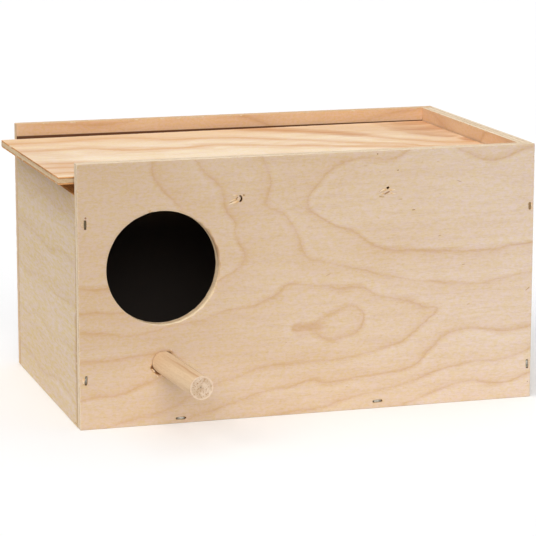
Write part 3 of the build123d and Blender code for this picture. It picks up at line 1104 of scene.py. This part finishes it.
def growth_rings_group():
    """Dark late wood from the growth number and the ring spacing: it deepens slowly up to each whole
    number, ends in a line there, and clears at once. Slope and line are in millimetres, and the line
    wavers, comes and goes. The early wood just past the line is the palest."""
    numbers = ["Growth", "Spacing", "Slope", "Line", "Broken"]
    kinds = [(label, "Float") for label in numbers] + [("Place", "Vector")]
    work, inputs, give = new_group("growth rings", kinds, ["Late", "Early"])
    growth, spacing, slope, line, broken, place = inputs
    waver = (work.noise(place, 16.0, 8.0, 2.0, 0.5) - 0.5) * 2.0
    jitter = (work.noise(place, 6.0, 1.1, 2.0, 0.5, (2.0, 4.0, 6.0)) - 0.5) * 1.8
    after = work.math("FRACT", growth + (waver + jitter) / spacing)
    past = after * spacing
    ahead = (1.0 - after) * spacing
    soft = work.math("EXPONENT", ahead / slope * -1.0)
    swell = work.noise(place, 20.0, 9.0, 1.0, 0.5, (1.0, 8.0, 5.0))
    width = line * work.fade(swell, 0.3, 0.7, 0.6, 1.7)
    crisp = work.bell(work.math("MINIMUM", past, ahead), width)
    faint = work.fade(work.noise(place, 26.0, 13.0, 1.0, 0.5, (6.0, 3.0, 2.0)), 0.66, 0.3)
    strength = 1.0 - faint * broken
    early = work.bell(past - slope * 0.8, slope * 0.45) * strength
    return give(Late=(soft * 0.5 + crisp * 0.55) * strength, Early=early)


def ply_layers_group():
    """The sawn edge of plywood from the depth in plies: the core between the two face plies, end grain
    or long grain in turn, the dark glue lines between, and a fine speckle."""
    kinds = [("Plies", "Float"), ("Across", "Float"), ("Place", "Vector")]
    outputs = ["Core", "End", "Glue", "Speckle"]
    work, (plies, across, place), give = new_group("ply layers", kinds, outputs)
    depth = plies + (work.noise(place, 9.0, 9.0, 2.0) - 0.5) * 0.16
    core = work.fade(work.math("ABSOLUTE", depth - 1.5), 0.55, 0.45)
    end = across + core - across * core * 2.0
    seam = work.math("ABSOLUTE", work.math("ABSOLUTE", depth - 1.5) - 0.5)
    glue = work.bell(seam, 0.09) * work.fade(work.noise(place, 5.0, 5.0, 1.0), 0.35, 0.6, 0.25, 1.0)
    speckle = work.noise(place, 0.5, 0.5, 2.0, 0.6)
    return give(Core=core, End=end, Glue=glue, Speckle=speckle)


def torn_wood_group():
    """Raw torn fibres: pale and dark strands along the grain."""
    work, (place,), give = new_group("torn wood", [("Place", "Vector")], ["Strand"])
    strand = work.noise(place, 2.4, 0.28, 2.0, 0.6, (4.0, 4.0, 9.0))
    return give(Strand=work.fade(strand, 0.32, 0.68))


GRAIN = grain_fibres_group()
RINGS = growth_rings_group()
LAYERS = ply_layers_group()
TORN = torn_wood_group()

RAW_PALE = paint(242, 222, 190)
RAW_DARK = paint(208, 164, 116)
# Painted shade: the dark of the box's inside towards the floor, and the dark line in the gap under the lid's
# edge
CHAMBER_SHADE = paint(86, 78, 72)
LID_GAP_SHADE = paint(84, 42, 16)
STAIN = paint(122, 68, 14)
# Painted shade near black, for the floors of deep cracks and slits
PAINTED_CRACK_SHADE = paint(48, 32, 18)
WHITE = (1.0, 1.0, 1.0, 1.0)

# Tints that the wood's own colour is multiplied by
EARLY = (1.01, 1.025, 1.05, 1.0)
STREAK_DARK = (0.86, 0.82, 0.76, 1.0)
STREAK_PALE = (1.06, 1.06, 1.06, 1.0)
BROWNED = (1.12, 0.74, 0.36, 1.0)

# Painted shade inside the box, by height over the level of the lid: the upper and the lower end of the dark
# line painted in the gap under the lid's edge, how strongly it shows, and where the painted shade towards
# the floor begins and is full
GAP_SHADE_TOP = (0.12, -0.2)
GAP_SHADE_FOOT = (-4.6, -4.0)
GAP_SHADE_SHARE = 0.93
CHAMBER_SHADE_RANGE = (-16.0, -58.0)

# Grime along the joint of the low end board: heights where it fades out and is full, and the plies it
# lies between
GRIME_HEIGHTS = (105.0, 30.0)
GRIME_PLIES = (2.25, 2.8)

# Where the runners turn brown over the low end board, along the box
RUNNER_TIP = (-113.0, -118.0)


def new_finish(name, gloss):
    """An empty material with its shader; gives the material, a tree to work in and the shader."""
    made = bpy.data.materials.new(name)
    made.use_nodes = True
    shader = made.node_tree.nodes["Principled BSDF"]
    shader.inputs["Specular IOR Level"].default_value = gloss
    return made, Tree(made.node_tree), shader


def dress(work, shader, colour, roughness, height, distance, strength):
    """Lead a colour, a roughness and a height, in parts of the given distance, to the shader."""
    bump = work.add("Bump", {"Height": height, "Distance": distance * MM, "Strength": strength})
    work.feed(shader, {"Base Color": colour, "Roughness": roughness, "Normal": bump})


def ring_lines(work, place, slope, line, broken):
    """Late and early wood from the growth that the mesh is marked with."""
    marks = {"Growth": work.mark("growth"), "Spacing": work.mark("spacing")}
    return work.use(RINGS, Slope=slope, Line=line, Broken=broken, Place=place, **marks)


def raw_wood(work, place, colour):
    """The colour giving way to raw strands where the mesh is marked as torn; gives it and the relief."""
    strand = work.use(TORN, Place=place)["Strand"]
    torn = work.fade(work.mark("torn"), 0.15, 0.75)
    return work.mix(torn, colour, work.mix(strand, RAW_DARK, RAW_PALE)), torn * strand


def mottled(work, colour, mottle, strength):
    """The colour broken up by fine mottling between a golden and a rosy tint of it."""
    gold = (1.0 - 0.012 * strength, 1.0 - 0.03 * strength, 1.0 - 0.2 * strength, 1.0)
    rose = (1.0 + 0.012 * strength, 1.0 + 0.016 * strength, 1.0 + 0.17 * strength, 1.0)
    return work.tint(colour, work.mix(work.fade(mottle, 0.3, 0.7), gold, rose))


def veneer(name, axes, shift, tones, ring_depth=0.53, slope=4.0, line=1.1, broken=0.5, stain=STAIN,
           mottle=1.0, fibre_length=1.0, washes=(), closed=None, streaked=False):
    """A bare veneer face: pale wood with late-wood lines, streaks of fibre, pores, mottling, slow warm
    blotches and dark inclusions, torn raw where a staple or a chip broke it, with painted shade near
    black at the floors of deep cracks. Each wash is a slow change of tone along one of the axes, some of
    them painted light and shade, and streaked stains break up along the grain. A face inside the box
    carries painted shade: a dark line in the gap under the lid's edge, along a level that is given at the
    middle with its slope along the grain, and dark that deepens towards the floor."""
    pale, late, fibre, warm = tones
    made, work, shader = new_finish(name, gloss=0.22)
    place = work.stretch(work.place(axes, shift), (fibre_length, 1.0, 1.0))
    plain = work.parts(work.place(axes))
    grain = work.use(GRAIN, Place=place)
    rings = ring_lines(work, place, slope, line, broken)
    late_share = rings["Late"] * ring_depth
    colour = work.mix(work.fade(grain["Blotch"], 0.36, 0.66, 0.0, 0.5), pale, warm)
    for axis, start, end, tone, most in washes:
        colour = work.cover(colour, tone, plain[axis], start, end, most)
    colour = work.mix(late_share, work.tint(colour, work.mix(rings["Early"], WHITE, EARLY)), late)
    colour = work.cover(colour, fibre, grain["Streak"], 0.42, 0.68, 0.24)
    colour = work.mix(grain["Pore"] * 0.3, colour, fibre)
    colour = mottled(work, colour, grain["Mottle"], mottle)
    stained = work.mark("stain")
    if streaked:
        break_up = work.fade(work.noise(place, 34.0, 2.2, 3.0, 0.6), 0.34, 0.64, 0.38, 1.1)
        colour = work.mix(stained * break_up, colour, stain)
    else:
        colour = work.cover(colour, late, stained, 0.0, 0.3, 0.5)
        colour = work.cover(colour, stain, stained, 0.15, 1.0, 0.85)
    # Past a stain of 0.95, at the floors of cracks and slits, the colour gives way to painted shade near
    # black
    colour = work.cover(colour, PAINTED_CRACK_SHADE, stained, 0.95, 1.3)
    # Painted shade inside the box: a dark line in the gap under the lid's edge, and dark deepening towards
    # the floor
    if closed is not None:
        level, tilt = closed
        height = plain[axes.index("Z")] - plain[0] * tilt - level
        below = work.fade(height, *GAP_SHADE_TOP)
        mask_share = below * work.fade(height, *GAP_SHADE_FOOT, 0.0, GAP_SHADE_SHARE)
        colour = work.mix(mask_share, colour, LID_GAP_SHADE)
        colour = work.cover(colour, CHAMBER_SHADE, height, *CHAMBER_SHADE_RANGE)
    colour, relief = raw_wood(work, place, colour)
    height = grain["Streak"] * 0.6 + late_share * 0.6 - grain["Pore"] * 0.4 + relief * 1.5
    dress(work, shader, colour, grain["Streak"] * 0.16 + 0.55, height, distance=0.12, strength=0.35)
    return made


def ply_edge(name, axes, shift, face_tones, core_tones, glue, grime=None):
    """A sawn plywood edge: face plies and core, each pale in long grain and darker and speckled in end
    grain, brown glue lines, torn chips, and grime towards the joint behind the low part of the ends."""
    made, work, shader = new_finish(name, gloss=0.15)
    place = work.place(axes, shift)
    layers = work.use(LAYERS, Plies=work.mark("depth"), Across=work.mark("across"), Place=place)
    grain = work.use(GRAIN, Place=place)
    pores = work.fade(layers["Speckle"], 0.42, 0.66)
    end = layers["End"] * (pores * 0.7 + 0.25)
    face = work.mix(end, *face_tones)
    core = work.mix(end, *core_tones)
    colour = work.mix(layers["Core"], face, core)
    streak = work.mix(work.fade(grain["Streak"], 0.3, 0.7), STREAK_DARK, STREAK_PALE)
    colour = work.tint(colour, streak)
    colour = work.mix(layers["Glue"] * 0.75, colour, glue)
    if grime is not None:
        low = work.fade(work.parts(work.place(axes))[1], *GRIME_HEIGHTS, 0.1, 0.65)
        joint = work.fade(work.mark("depth"), *GRIME_PLIES) * work.mark("across") * low
        colour = work.mix(joint, colour, grime)
    colour = work.mix(work.mark("stain") * 0.85, colour, STAIN)
    colour, relief = raw_wood(work, place, colour)
    height = layers["Speckle"] * layers["End"] + grain["Streak"] * 0.5 + relief - layers["Glue"] * 0.5
    dress(work, shader, colour, 0.75, height, distance=0.15, strength=0.5)
    return made


def runner_softwood():
    """Solid softwood: fine streaks and soft bands along the grain, browned at the end over the low
    end board."""
    made, work, shader = new_finish("runner_softwood", gloss=0.22)
    place = work.place("XZY", (19, 3, 7))
    grain = work.use(GRAIN, Place=place)
    late = ring_lines(work, place, slope=1.4, line=0.4, broken=0.5)["Late"]
    dark = work.fade(grain["Streak"], 0.36, 0.68) * 0.55 + late * 0.4
    colour = work.mix(dark, paint(228, 178, 126), paint(178, 124, 78))
    tip = work.fade(work.parts(work.place("XZY"))[0], *RUNNER_TIP)
    colour = work.tint(colour, work.mix(tip, WHITE, BROWNED))
    colour, relief = raw_wood(work, place, colour)
    height = grain["Streak"] + relief
    dress(work, shader, colour, grain["Streak"] * 0.2 + 0.5, height, distance=0.12, strength=0.4)
    return made


def perch_place(work):
    """The point in the perch's own frame, in millimetres: grain first, then sideways and up."""
    root = perch_axes()[0]
    point = work.add("TexCoord", out=3)
    moved = work.add("VectorMath", {0: point, 1: tuple(root * MM)}, operation="SUBTRACT")
    turn = {"Vector": moved, "Angle": -float(PERCH_LEAN)}
    turned = work.add("VectorRotate", turn, rotation_type="Z_AXIS")
    sideways, along, up = work.parts(turned)
    return work.stretch(work.add("CombineXYZ", {0: along, 1: sideways, 2: up}), (MM, MM, MM))


def dowel_side():
    """The turned side of the perch: peach wood with straight fibres and a darker streak at its upper
    left."""
    made, work, shader = new_finish("perch_dowel_side", gloss=0.3)
    place = perch_place(work)
    grain = work.use(GRAIN, Place=place)
    along, sideways, up = work.parts(place)
    angle = work.math("ARCTAN2", up, sideways)
    drift = (work.noise(place, 30.0, 30.0, 1.0) - 0.5) * 0.4
    streak = work.bell(angle - 1.84 + drift, 0.1) * work.fade(along, -4.0, -34.0, 0.3, 0.6)
    band = work.noise(place, 80.0, 2.4, 2.0)
    colour = work.mix(work.fade(band, 0.35, 0.7), paint(228, 199, 163), paint(214, 181, 144))
    colour = work.cover(colour, paint(206, 170, 130), grain["Streak"], 0.45, 0.7, 0.4)
    colour = work.mix(grain["Pore"] * 0.4, colour, paint(188, 146, 104))
    colour = work.mix(streak, colour, paint(186, 134, 88))
    dress(work, shader, colour, grain["Streak"] * 0.2 + 0.42, grain["Streak"], distance=0.05, strength=0.15)
    return made


def dowel_end():
    """The sawn end of the perch: beige with brown speckles and dark pores, a small dark pith off its
    middle, and a pale burr round it."""
    made, work, shader = new_finish("perch_dowel_end", gloss=0.12)
    place = perch_place(work)
    _, sideways, up = work.parts(place)
    away = work.math("SQRT", sideways * sideways + up * up)
    pores = work.noise(place, 0.5, 0.5, 2.0, 0.6)
    speckle = work.noise(place, 0.95, 0.95, 2.0, 0.65, (3.0, 1.0, 2.0))
    cloud = work.noise(place, 4.0, 4.0, 1.0, 0.5, (7.0, 5.0, 2.0))
    colour = work.mix(work.fade(cloud, 0.35, 0.65), paint(236, 212, 186), paint(218, 190, 158))
    colour = work.cover(colour, paint(178, 120, 70), speckle, 0.52, 0.64, 0.6)
    colour = work.cover(colour, paint(158, 102, 54), pores, 0.6, 0.72, 0.5)
    colour = work.cover(colour, paint(242, 216, 190), away + (pores - 0.5) * 0.9, 5.1, 5.7, 0.8)
    left, rise = sideways + 0.5, up - 0.4
    pith = work.bell(work.math("SQRT", left * left + rise * rise), 0.42)
    colour = work.mix(pith * 0.8, colour, paint(104, 76, 48))
    dress(work, shader, colour, 0.8, pores, distance=0.15, strength=0.6)
    return made


def staple_steel():
    """Galvanised wire, a little scratched, and brown with wood dust where it is marked."""
    made, work, shader = new_finish("staple_steel", gloss=0.5)
    place = work.place("XZY")
    scratch = work.noise(place, 1.6, 0.12, 2.0, 0.6)
    dull = work.noise(place, 1.1, 1.1, 2.0)
    colour = work.mix(work.fade(dull, 0.35, 0.65), paint(196, 193, 184), paint(150, 146, 134))
    colour = work.cover(colour, paint(110, 104, 92), scratch, 0.55, 0.7, 0.5)
    grime = work.fade(work.mark("stain") + (dull - 0.5) * 0.5, 0.1, 0.9)
    colour = work.mix(grime, colour, paint(96, 80, 50))
    colour = work.cover(colour, paint(172, 138, 94), work.mark("stain"), 1.0, 1.5)
    dress(work, shader, colour, dull * 0.3 + 0.35, scratch, distance=0.03, strength=0.4)
    work.feed(shader, {"Metallic": 1.0 - grime * 0.85})
    return made


def torn_fibre():
    """Slivers lifted from the face: pale at the tip, orange towards the root."""
    made, work, shader = new_finish("torn_fibre", gloss=0.15)
    place = work.place("XZY")
    strand = work.use(TORN, Place=place)["Strand"]
    colour = work.mix(work.mark("torn"), paint(232, 184, 122), paint(255, 245, 222))
    colour = work.mix(strand * 0.3, colour, RAW_DARK)
    dress(work, shader, colour, 0.75, strand, distance=0.06, strength=0.4)
    return made


# Stage: floor, light and camera

FLOOR_HALF = 6000.0
FLOOR_DROP = 0.05
# The floor's colour for the light it throws back: a painted pool of light, bright near the box and dim far
# off
PAPER_NEAR = (0.96, 0.96, 0.96, 1.0)
PAPER_FAR = (0.5, 0.5, 0.5, 1.0)
WORLD_LIGHT = (0.2, 0.2, 0.205, 1.0)

# Camera, in metres and degrees
CAMERA_PLACE = (-0.4085, -1.3432, 0.3418)
CAMERA_TURN = (78.80, 0.0, -16.93)

# Lamps: direction they shine from, level and spread in degrees
LAMPS = {
    "key": ((-0.2086, -0.8123, 0.5446), 0.43, 40),
    "overhead": ((0.1, 0.15, 1.0), 0.385, 70),
    "left_fill": ((-0.73, -0.2, 0.65), 0.31, 40),
}


def white_for_viewer(work, plain):
    """The plain colour for the light that falls on the object, white where the camera looks, also by way
    of metal or glass."""
    path = work.add("LightPath").socket.node.outputs
    rays = ("Is Camera Ray", "Is Glossy Ray", "Is Transmission Ray")
    camera, glossy, through = (Wire(work, path[ray]) for ray in rays)
    seen = work.math("MAXIMUM", work.math("MAXIMUM", camera, glossy), through)
    return work.mix(seen, plain, WHITE)


def lay_floor():
    """A wide pale floor just under the base: a square grid of four corners, with a pool of light painted
    round the box into the colour that it throws back onto the box.
    """
    ends = np.array([-FLOOR_HALF, FLOOR_HALF])
    across, along = np.meshgrid(ends, ends)
    shell = Shell()
    numbers = shell.add(np.stack([across, along, np.full((2, 2), -FLOOR_DROP)], -1))
    shell.grid(numbers.T, 0)
    made, work, shader = new_finish("floor_paper", gloss=0.0)
    point = work.add("TexCoord", out=3)
    away = work.add("VectorMath", {0: point}, out=1, operation="LENGTH")
    paper = work.mix(work.fade(away, 0.1, 0.5), PAPER_NEAR, PAPER_FAR)
    work.feed(shader, {"Base Color": white_for_viewer(work, paper), "Roughness": 0.9})
    shell.piece("floor", [made])


def lay_world():
    """Dim even light from all round, seen as white."""
    world = bpy.data.worlds.new("studio")
    world.use_nodes = True
    bpy.context.scene.world = world
    work = Tree(world.node_tree)
    work.feed(world.node_tree.nodes["Background"], {"Color": white_for_viewer(work, WORLD_LIGHT)})


def hang_light(name, toward, level, spread):
    """A far soft lamp from the given direction, whose level is what it adds to a white face that is
    square to it."""
    lamp = bpy.data.lights.new(name, "SUN")
    lamp.energy = np.pi * level
    lamp.angle = np.radians(spread)
    hung = bpy.data.objects.new(name, lamp)
    hung.rotation_euler = Vector(toward).to_track_quat("Z", "Y").to_euler()
    bpy.context.scene.collection.objects.link(hung)


def set_camera():
    """A long lens looking from the front left, a little above the lid."""
    lens = bpy.data.cameras.new("camera")
    lens.lens = 172.1
    lens.sensor_width = 36.0
    lens.clip_start = 0.05
    lens.clip_end = 60.0
    camera = bpy.data.objects.new("camera", lens)
    camera.location = CAMERA_PLACE
    camera.rotation_euler = np.radians(CAMERA_TURN)
    bpy.context.scene.collection.objects.link(camera)
    bpy.context.scene.camera = camera


# Faces of the boards, seen from outside, and the finishes

X, Y, Z = np.eye(3)
FRONT = Face("front_panel", X, Z)
BACK = Face("back_panel", -X, Z)
LEFT = Face("left_end_panel", -Y, Z)
RIGHT = Face("right_end_panel", Y, Z)
FLOOR = Face("floor_panel", X, -Y)
FRONT_RUNNER = Face("front_lid_runner", -X, Z)
BACK_RUNNER = Face("back_lid_runner", X, Z)
LID = LidFace()

# Tones of a veneer: pale wood, late wood, fibre and warm blotches
BIRCH = (paint(231, 206, 178), paint(206, 158, 104), paint(204, 166, 126), paint(225, 196, 163))
SIDE = (paint(224, 202, 172), paint(198, 160, 114), paint(202, 172, 136), paint(217, 191, 158))
BASE = (paint(226, 198, 166),) + BIRCH[1:]
INSIDE = (paint(236, 201, 163), paint(206, 156, 110), paint(216, 170, 126), paint(230, 188, 146))
LID_TONES = (paint(245, 227, 200), paint(212, 154, 98), paint(230, 190, 144), paint(240, 216, 180))

# Washes: axis, where each begins and where it is full, tone and share
# The front's washes are painted light and shade, partly the wood's own tone: darker to the left, paler to
# the right and towards the bottom
front_painted_light = [(0, 30.0, -126.0, paint(206, 176, 142), 0.42), (0, 0.0, 126.0, paint(238, 217, 197), 0.6),
                (1, 38.0, 4.0, paint(240, 215, 189), 0.25)]
# Painted shadow of the lid's overhang, darker towards the top of the end boards
side_painted_shadow = [(1, 96.0, 123.0, paint(168, 138, 102), 0.45)]
lid_washes = [(1, 12.0, 66.0, paint(226, 178, 126), 0.5), (0, 62.0, 112.0, paint(214, 162, 112), 0.4)]
front_veneer = veneer("front_veneer", "XZY", (0, 0, 0), BIRCH, washes=front_painted_light)
side_veneer = veneer("side_veneer", "YZX", (37, 11, 5), SIDE, ring_depth=0.28, line=1.2, mottle=1.75,
                     fibre_length=3.0, washes=side_painted_shadow)
back_veneer = veneer("back_veneer", "XZY", (61, 23, 9), BIRCH)
base_veneer = veneer("base_veneer", "XYZ", (17, 41, 3), BASE)
inner_long = veneer("inner_long_veneer", "XZY", (83, 7, 13), INSIDE, closed=(LID_TOP + 0.45, -0.0015))
inner_end = veneer("inner_end_veneer", "YZX", (29, 53, 21), INSIDE, closed=(LID_TOP - 0.5, 0.0))
inner_floor = veneer("inner_floor_veneer", "XYZ", (5, 67, 31), INSIDE, closed=(LID_TOP, 0.0))
lid_veneer = veneer("lid_veneer", "XYZ", (3, 71, 2), LID_TONES, ring_depth=0.84, slope=8.5, line=7.5,
                    broken=0.25, stain=paint(186, 122, 72), washes=lid_washes, streaked=True)

# Tones of a sawn edge: long grain and end grain, for the face plies or the core
EDGE_TONES = (paint(238, 222, 198), paint(216, 186, 148))
LOW_TONES = (paint(204, 154, 96), paint(180, 124, 68))
# The entrance's edge is paler than the other sawn edges: painted light against the shade inside the hole
RIM_TONES = (paint(250, 230, 196), paint(240, 206, 162))
RIM_CORE = (paint(248, 224, 188), paint(236, 202, 158))
BACK_FACE_TONES = (paint(222, 180, 134), paint(214, 186, 150))
BACK_CORE_TONES = (paint(232, 210, 180), paint(208, 164, 118))
LID_FACE_TONES = (paint(236, 178, 116), paint(186, 124, 72))
LID_CORE_TONES = (paint(228, 204, 168), paint(194, 154, 110))
GLUE = paint(158, 114, 72)
GRIME = paint(160, 124, 90)
long_edge = ply_edge("long_board_edge", "XZY", (0, 0, 0), EDGE_TONES, EDGE_TONES, GLUE, GRIME)
end_edge = ply_edge("end_board_edge", "YZX", (9, 4, 0), EDGE_TONES, EDGE_TONES, GLUE)
low_edge = ply_edge("low_end_edge", "YZX", (9, 4, 0), LOW_TONES, LOW_TONES, paint(122, 78, 42))
floor_edge = ply_edge("floor_board_edge", "XYZ", (4, 8, 0), EDGE_TONES, EDGE_TONES, GLUE)
rim_edge = ply_edge("entrance_edge", "XZY", (6, 1, 0), RIM_TONES, RIM_CORE, paint(168, 122, 78))
back_edge = ply_edge("back_board_edge", "XZY", (8, 5, 2), BACK_FACE_TONES, BACK_CORE_TONES, GLUE, GRIME)
lid_edge = ply_edge("lid_edge", "XYZ", (2, 6, 0), LID_FACE_TONES, LID_CORE_TONES, paint(150, 88, 42))
runner_wood = runner_softwood()
steel = staple_steel()
fibre = torn_fibre()


def place_piece(piece, node, body):
    """Let a finished piece stand for its node and ride on its body."""
    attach(piece, body)
    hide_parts(node)


def build_boards():
    """Every board and runner, each with its own growth on both faces."""
    front_places = [place for places in FRONT_STAPLES.values() for place in places]
    back_places = [place for places in BACK_STAPLES.values() for place in places]
    strokes = (FIRST_BURIED, SECOND_BURIED)
    strip = dict(layers=SOLID_LAYERS, rough=0.05, chips=0.25)
    made = [
        ("front_panel", FRONT, (front_veneer, inner_long, long_edge, rim_edge),
         (traced_growth(FRONT_RINGS), arched_growth((60, -40), 5, 13, 4, 101)), 100,
         dict(spacing=2.5, openings=(entrance_rim, perch_mouth), staples=front_places, flecks=FRONT_FLECKS,
              buried=list(zip(FRONT_RUNNER_STAPLES, strokes)), stains=FRONT_FIGURE)),
        ("back_panel", BACK, (back_veneer, inner_long, back_edge),
         (arched_growth((190, 20), 3.5, 17, 3.4, 201), arched_growth((120, 210), 4, 15, 5, 202)), 200,
         dict(spacing=3.0, staples=back_places, buried=list(zip(BACK_RUNNER_STAPLES, strokes)))),
        ("left_end_panel", LEFT, (side_veneer, inner_end, low_edge),
         (arched_growth((-160, 420), 7, 24, 2.5, 301), arched_growth((90, -30), 4, 14, 5, 302)), 300,
         dict(spacing=3.5, ease=END_ARRIS, flecks=LEFT_FLECKS, stains=LEFT_JOINT)),
        ("right_end_panel", RIGHT, (side_veneer, inner_end, end_edge),
         (arched_growth((300, -260), 7, 22, 2.5, 401), arched_growth((70, 190), 4, 14, 5, 402)), 400,
         dict(spacing=3.5, ease=END_ARRIS)),
        ("floor_panel", FLOOR, (base_veneer, inner_floor, floor_edge),
         (arched_growth((150, -60), 4, 14, 6, 501), arched_growth((70, 60), 5, 14, 6, 502)), 500, {}),
        ("front_lid_runner", FRONT_RUNNER, (runner_wood,) * 3,
         (arched_growth((100, -9), 9, 4, 1, 601), arched_growth((160, 30), 9, 4, 1, 602)), 600, strip),
        ("back_lid_runner", BACK_RUNNER, (runner_wood,) * 3,
         (arched_growth((180, 34), 9, 4, 1, 701), arched_growth((60, -12), 9, 4, 1, 702)), 700, strip),
    ]
    for name, face, finishes, growths, seed, options in made:
        slot = "runner_strip" if "runner" in name else "birch_plywood"
        place_piece(board(name + "_board", face, finishes, growths, seed, **options), name, "box")


def build_lid():
    """The loose lid, its edge rougher than the box's."""
    growths = (traced_growth(LID_RINGS), arched_growth((120, 200), 5, 20, 5, 801))
    made = board("sliding_lid_board", LID, (lid_veneer, lid_veneer, lid_edge), growths, 800,
                 layers=LID_LAYERS, ease=LID_ARRIS, chips=0.45, rough=0.16, spacing=2.5, stains=LID_FIGURE)
    place_piece(made, "sliding_lid", "lid")


def build_staples():
    """Every pair of staples in its face, the ones over the runners deeper."""
    pairs = [(FRONT, name, places, CROWN_SINK) for name, places in FRONT_STAPLES.items()]
    pairs += [(BACK, name, places, CROWN_SINK) for name, places in BACK_STAPLES.items()]
    pairs.append((FRONT, "front_runner_staples", FRONT_RUNNER_STAPLES, RUNNER_SINK))
    pairs.append((BACK, "back_runner_staples", BACK_RUNNER_STAPLES, RUNNER_SINK))
    for face, name, places, sink in pairs:
        place_piece(staple_wires(name + "_wire", face, places, sink, steel), name, "box")


def build_splinters():
    """Slivers beside the deep staples, and drawn ones round the perch's mouth."""
    draw = np.random.default_rng(951)
    slivers = list(SLIVERS)
    for toward, count in MOUTH_SLIVERS:
        for _ in range(count):
            lean = toward + draw.uniform(-12, 12)
            spot = PERCH_SPOT + (PERCH_RADIUS + draw.uniform(1.0, 2.0)) * heading_of(lean)
            turn = lean + draw.uniform(50, 120)
            slivers.append((*spot, turn, draw.uniform(1.2, 2.6), draw.uniform(0.6, 1.0)))
    made = splinters("front_splinters", FRONT, slivers, fibre, 953)
    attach(made, "box")


build_boards()
build_lid()
place_piece(perch_dowel([dowel_side(), dowel_end()]), "perch", "box")
build_staples()
build_splinters()

lay_floor()
lay_world()
for lamp, setting in LAMPS.items():
    hang_light(lamp, *setting)
set_camera()
bpy.context.scene.view_settings.view_transform = "Standard"
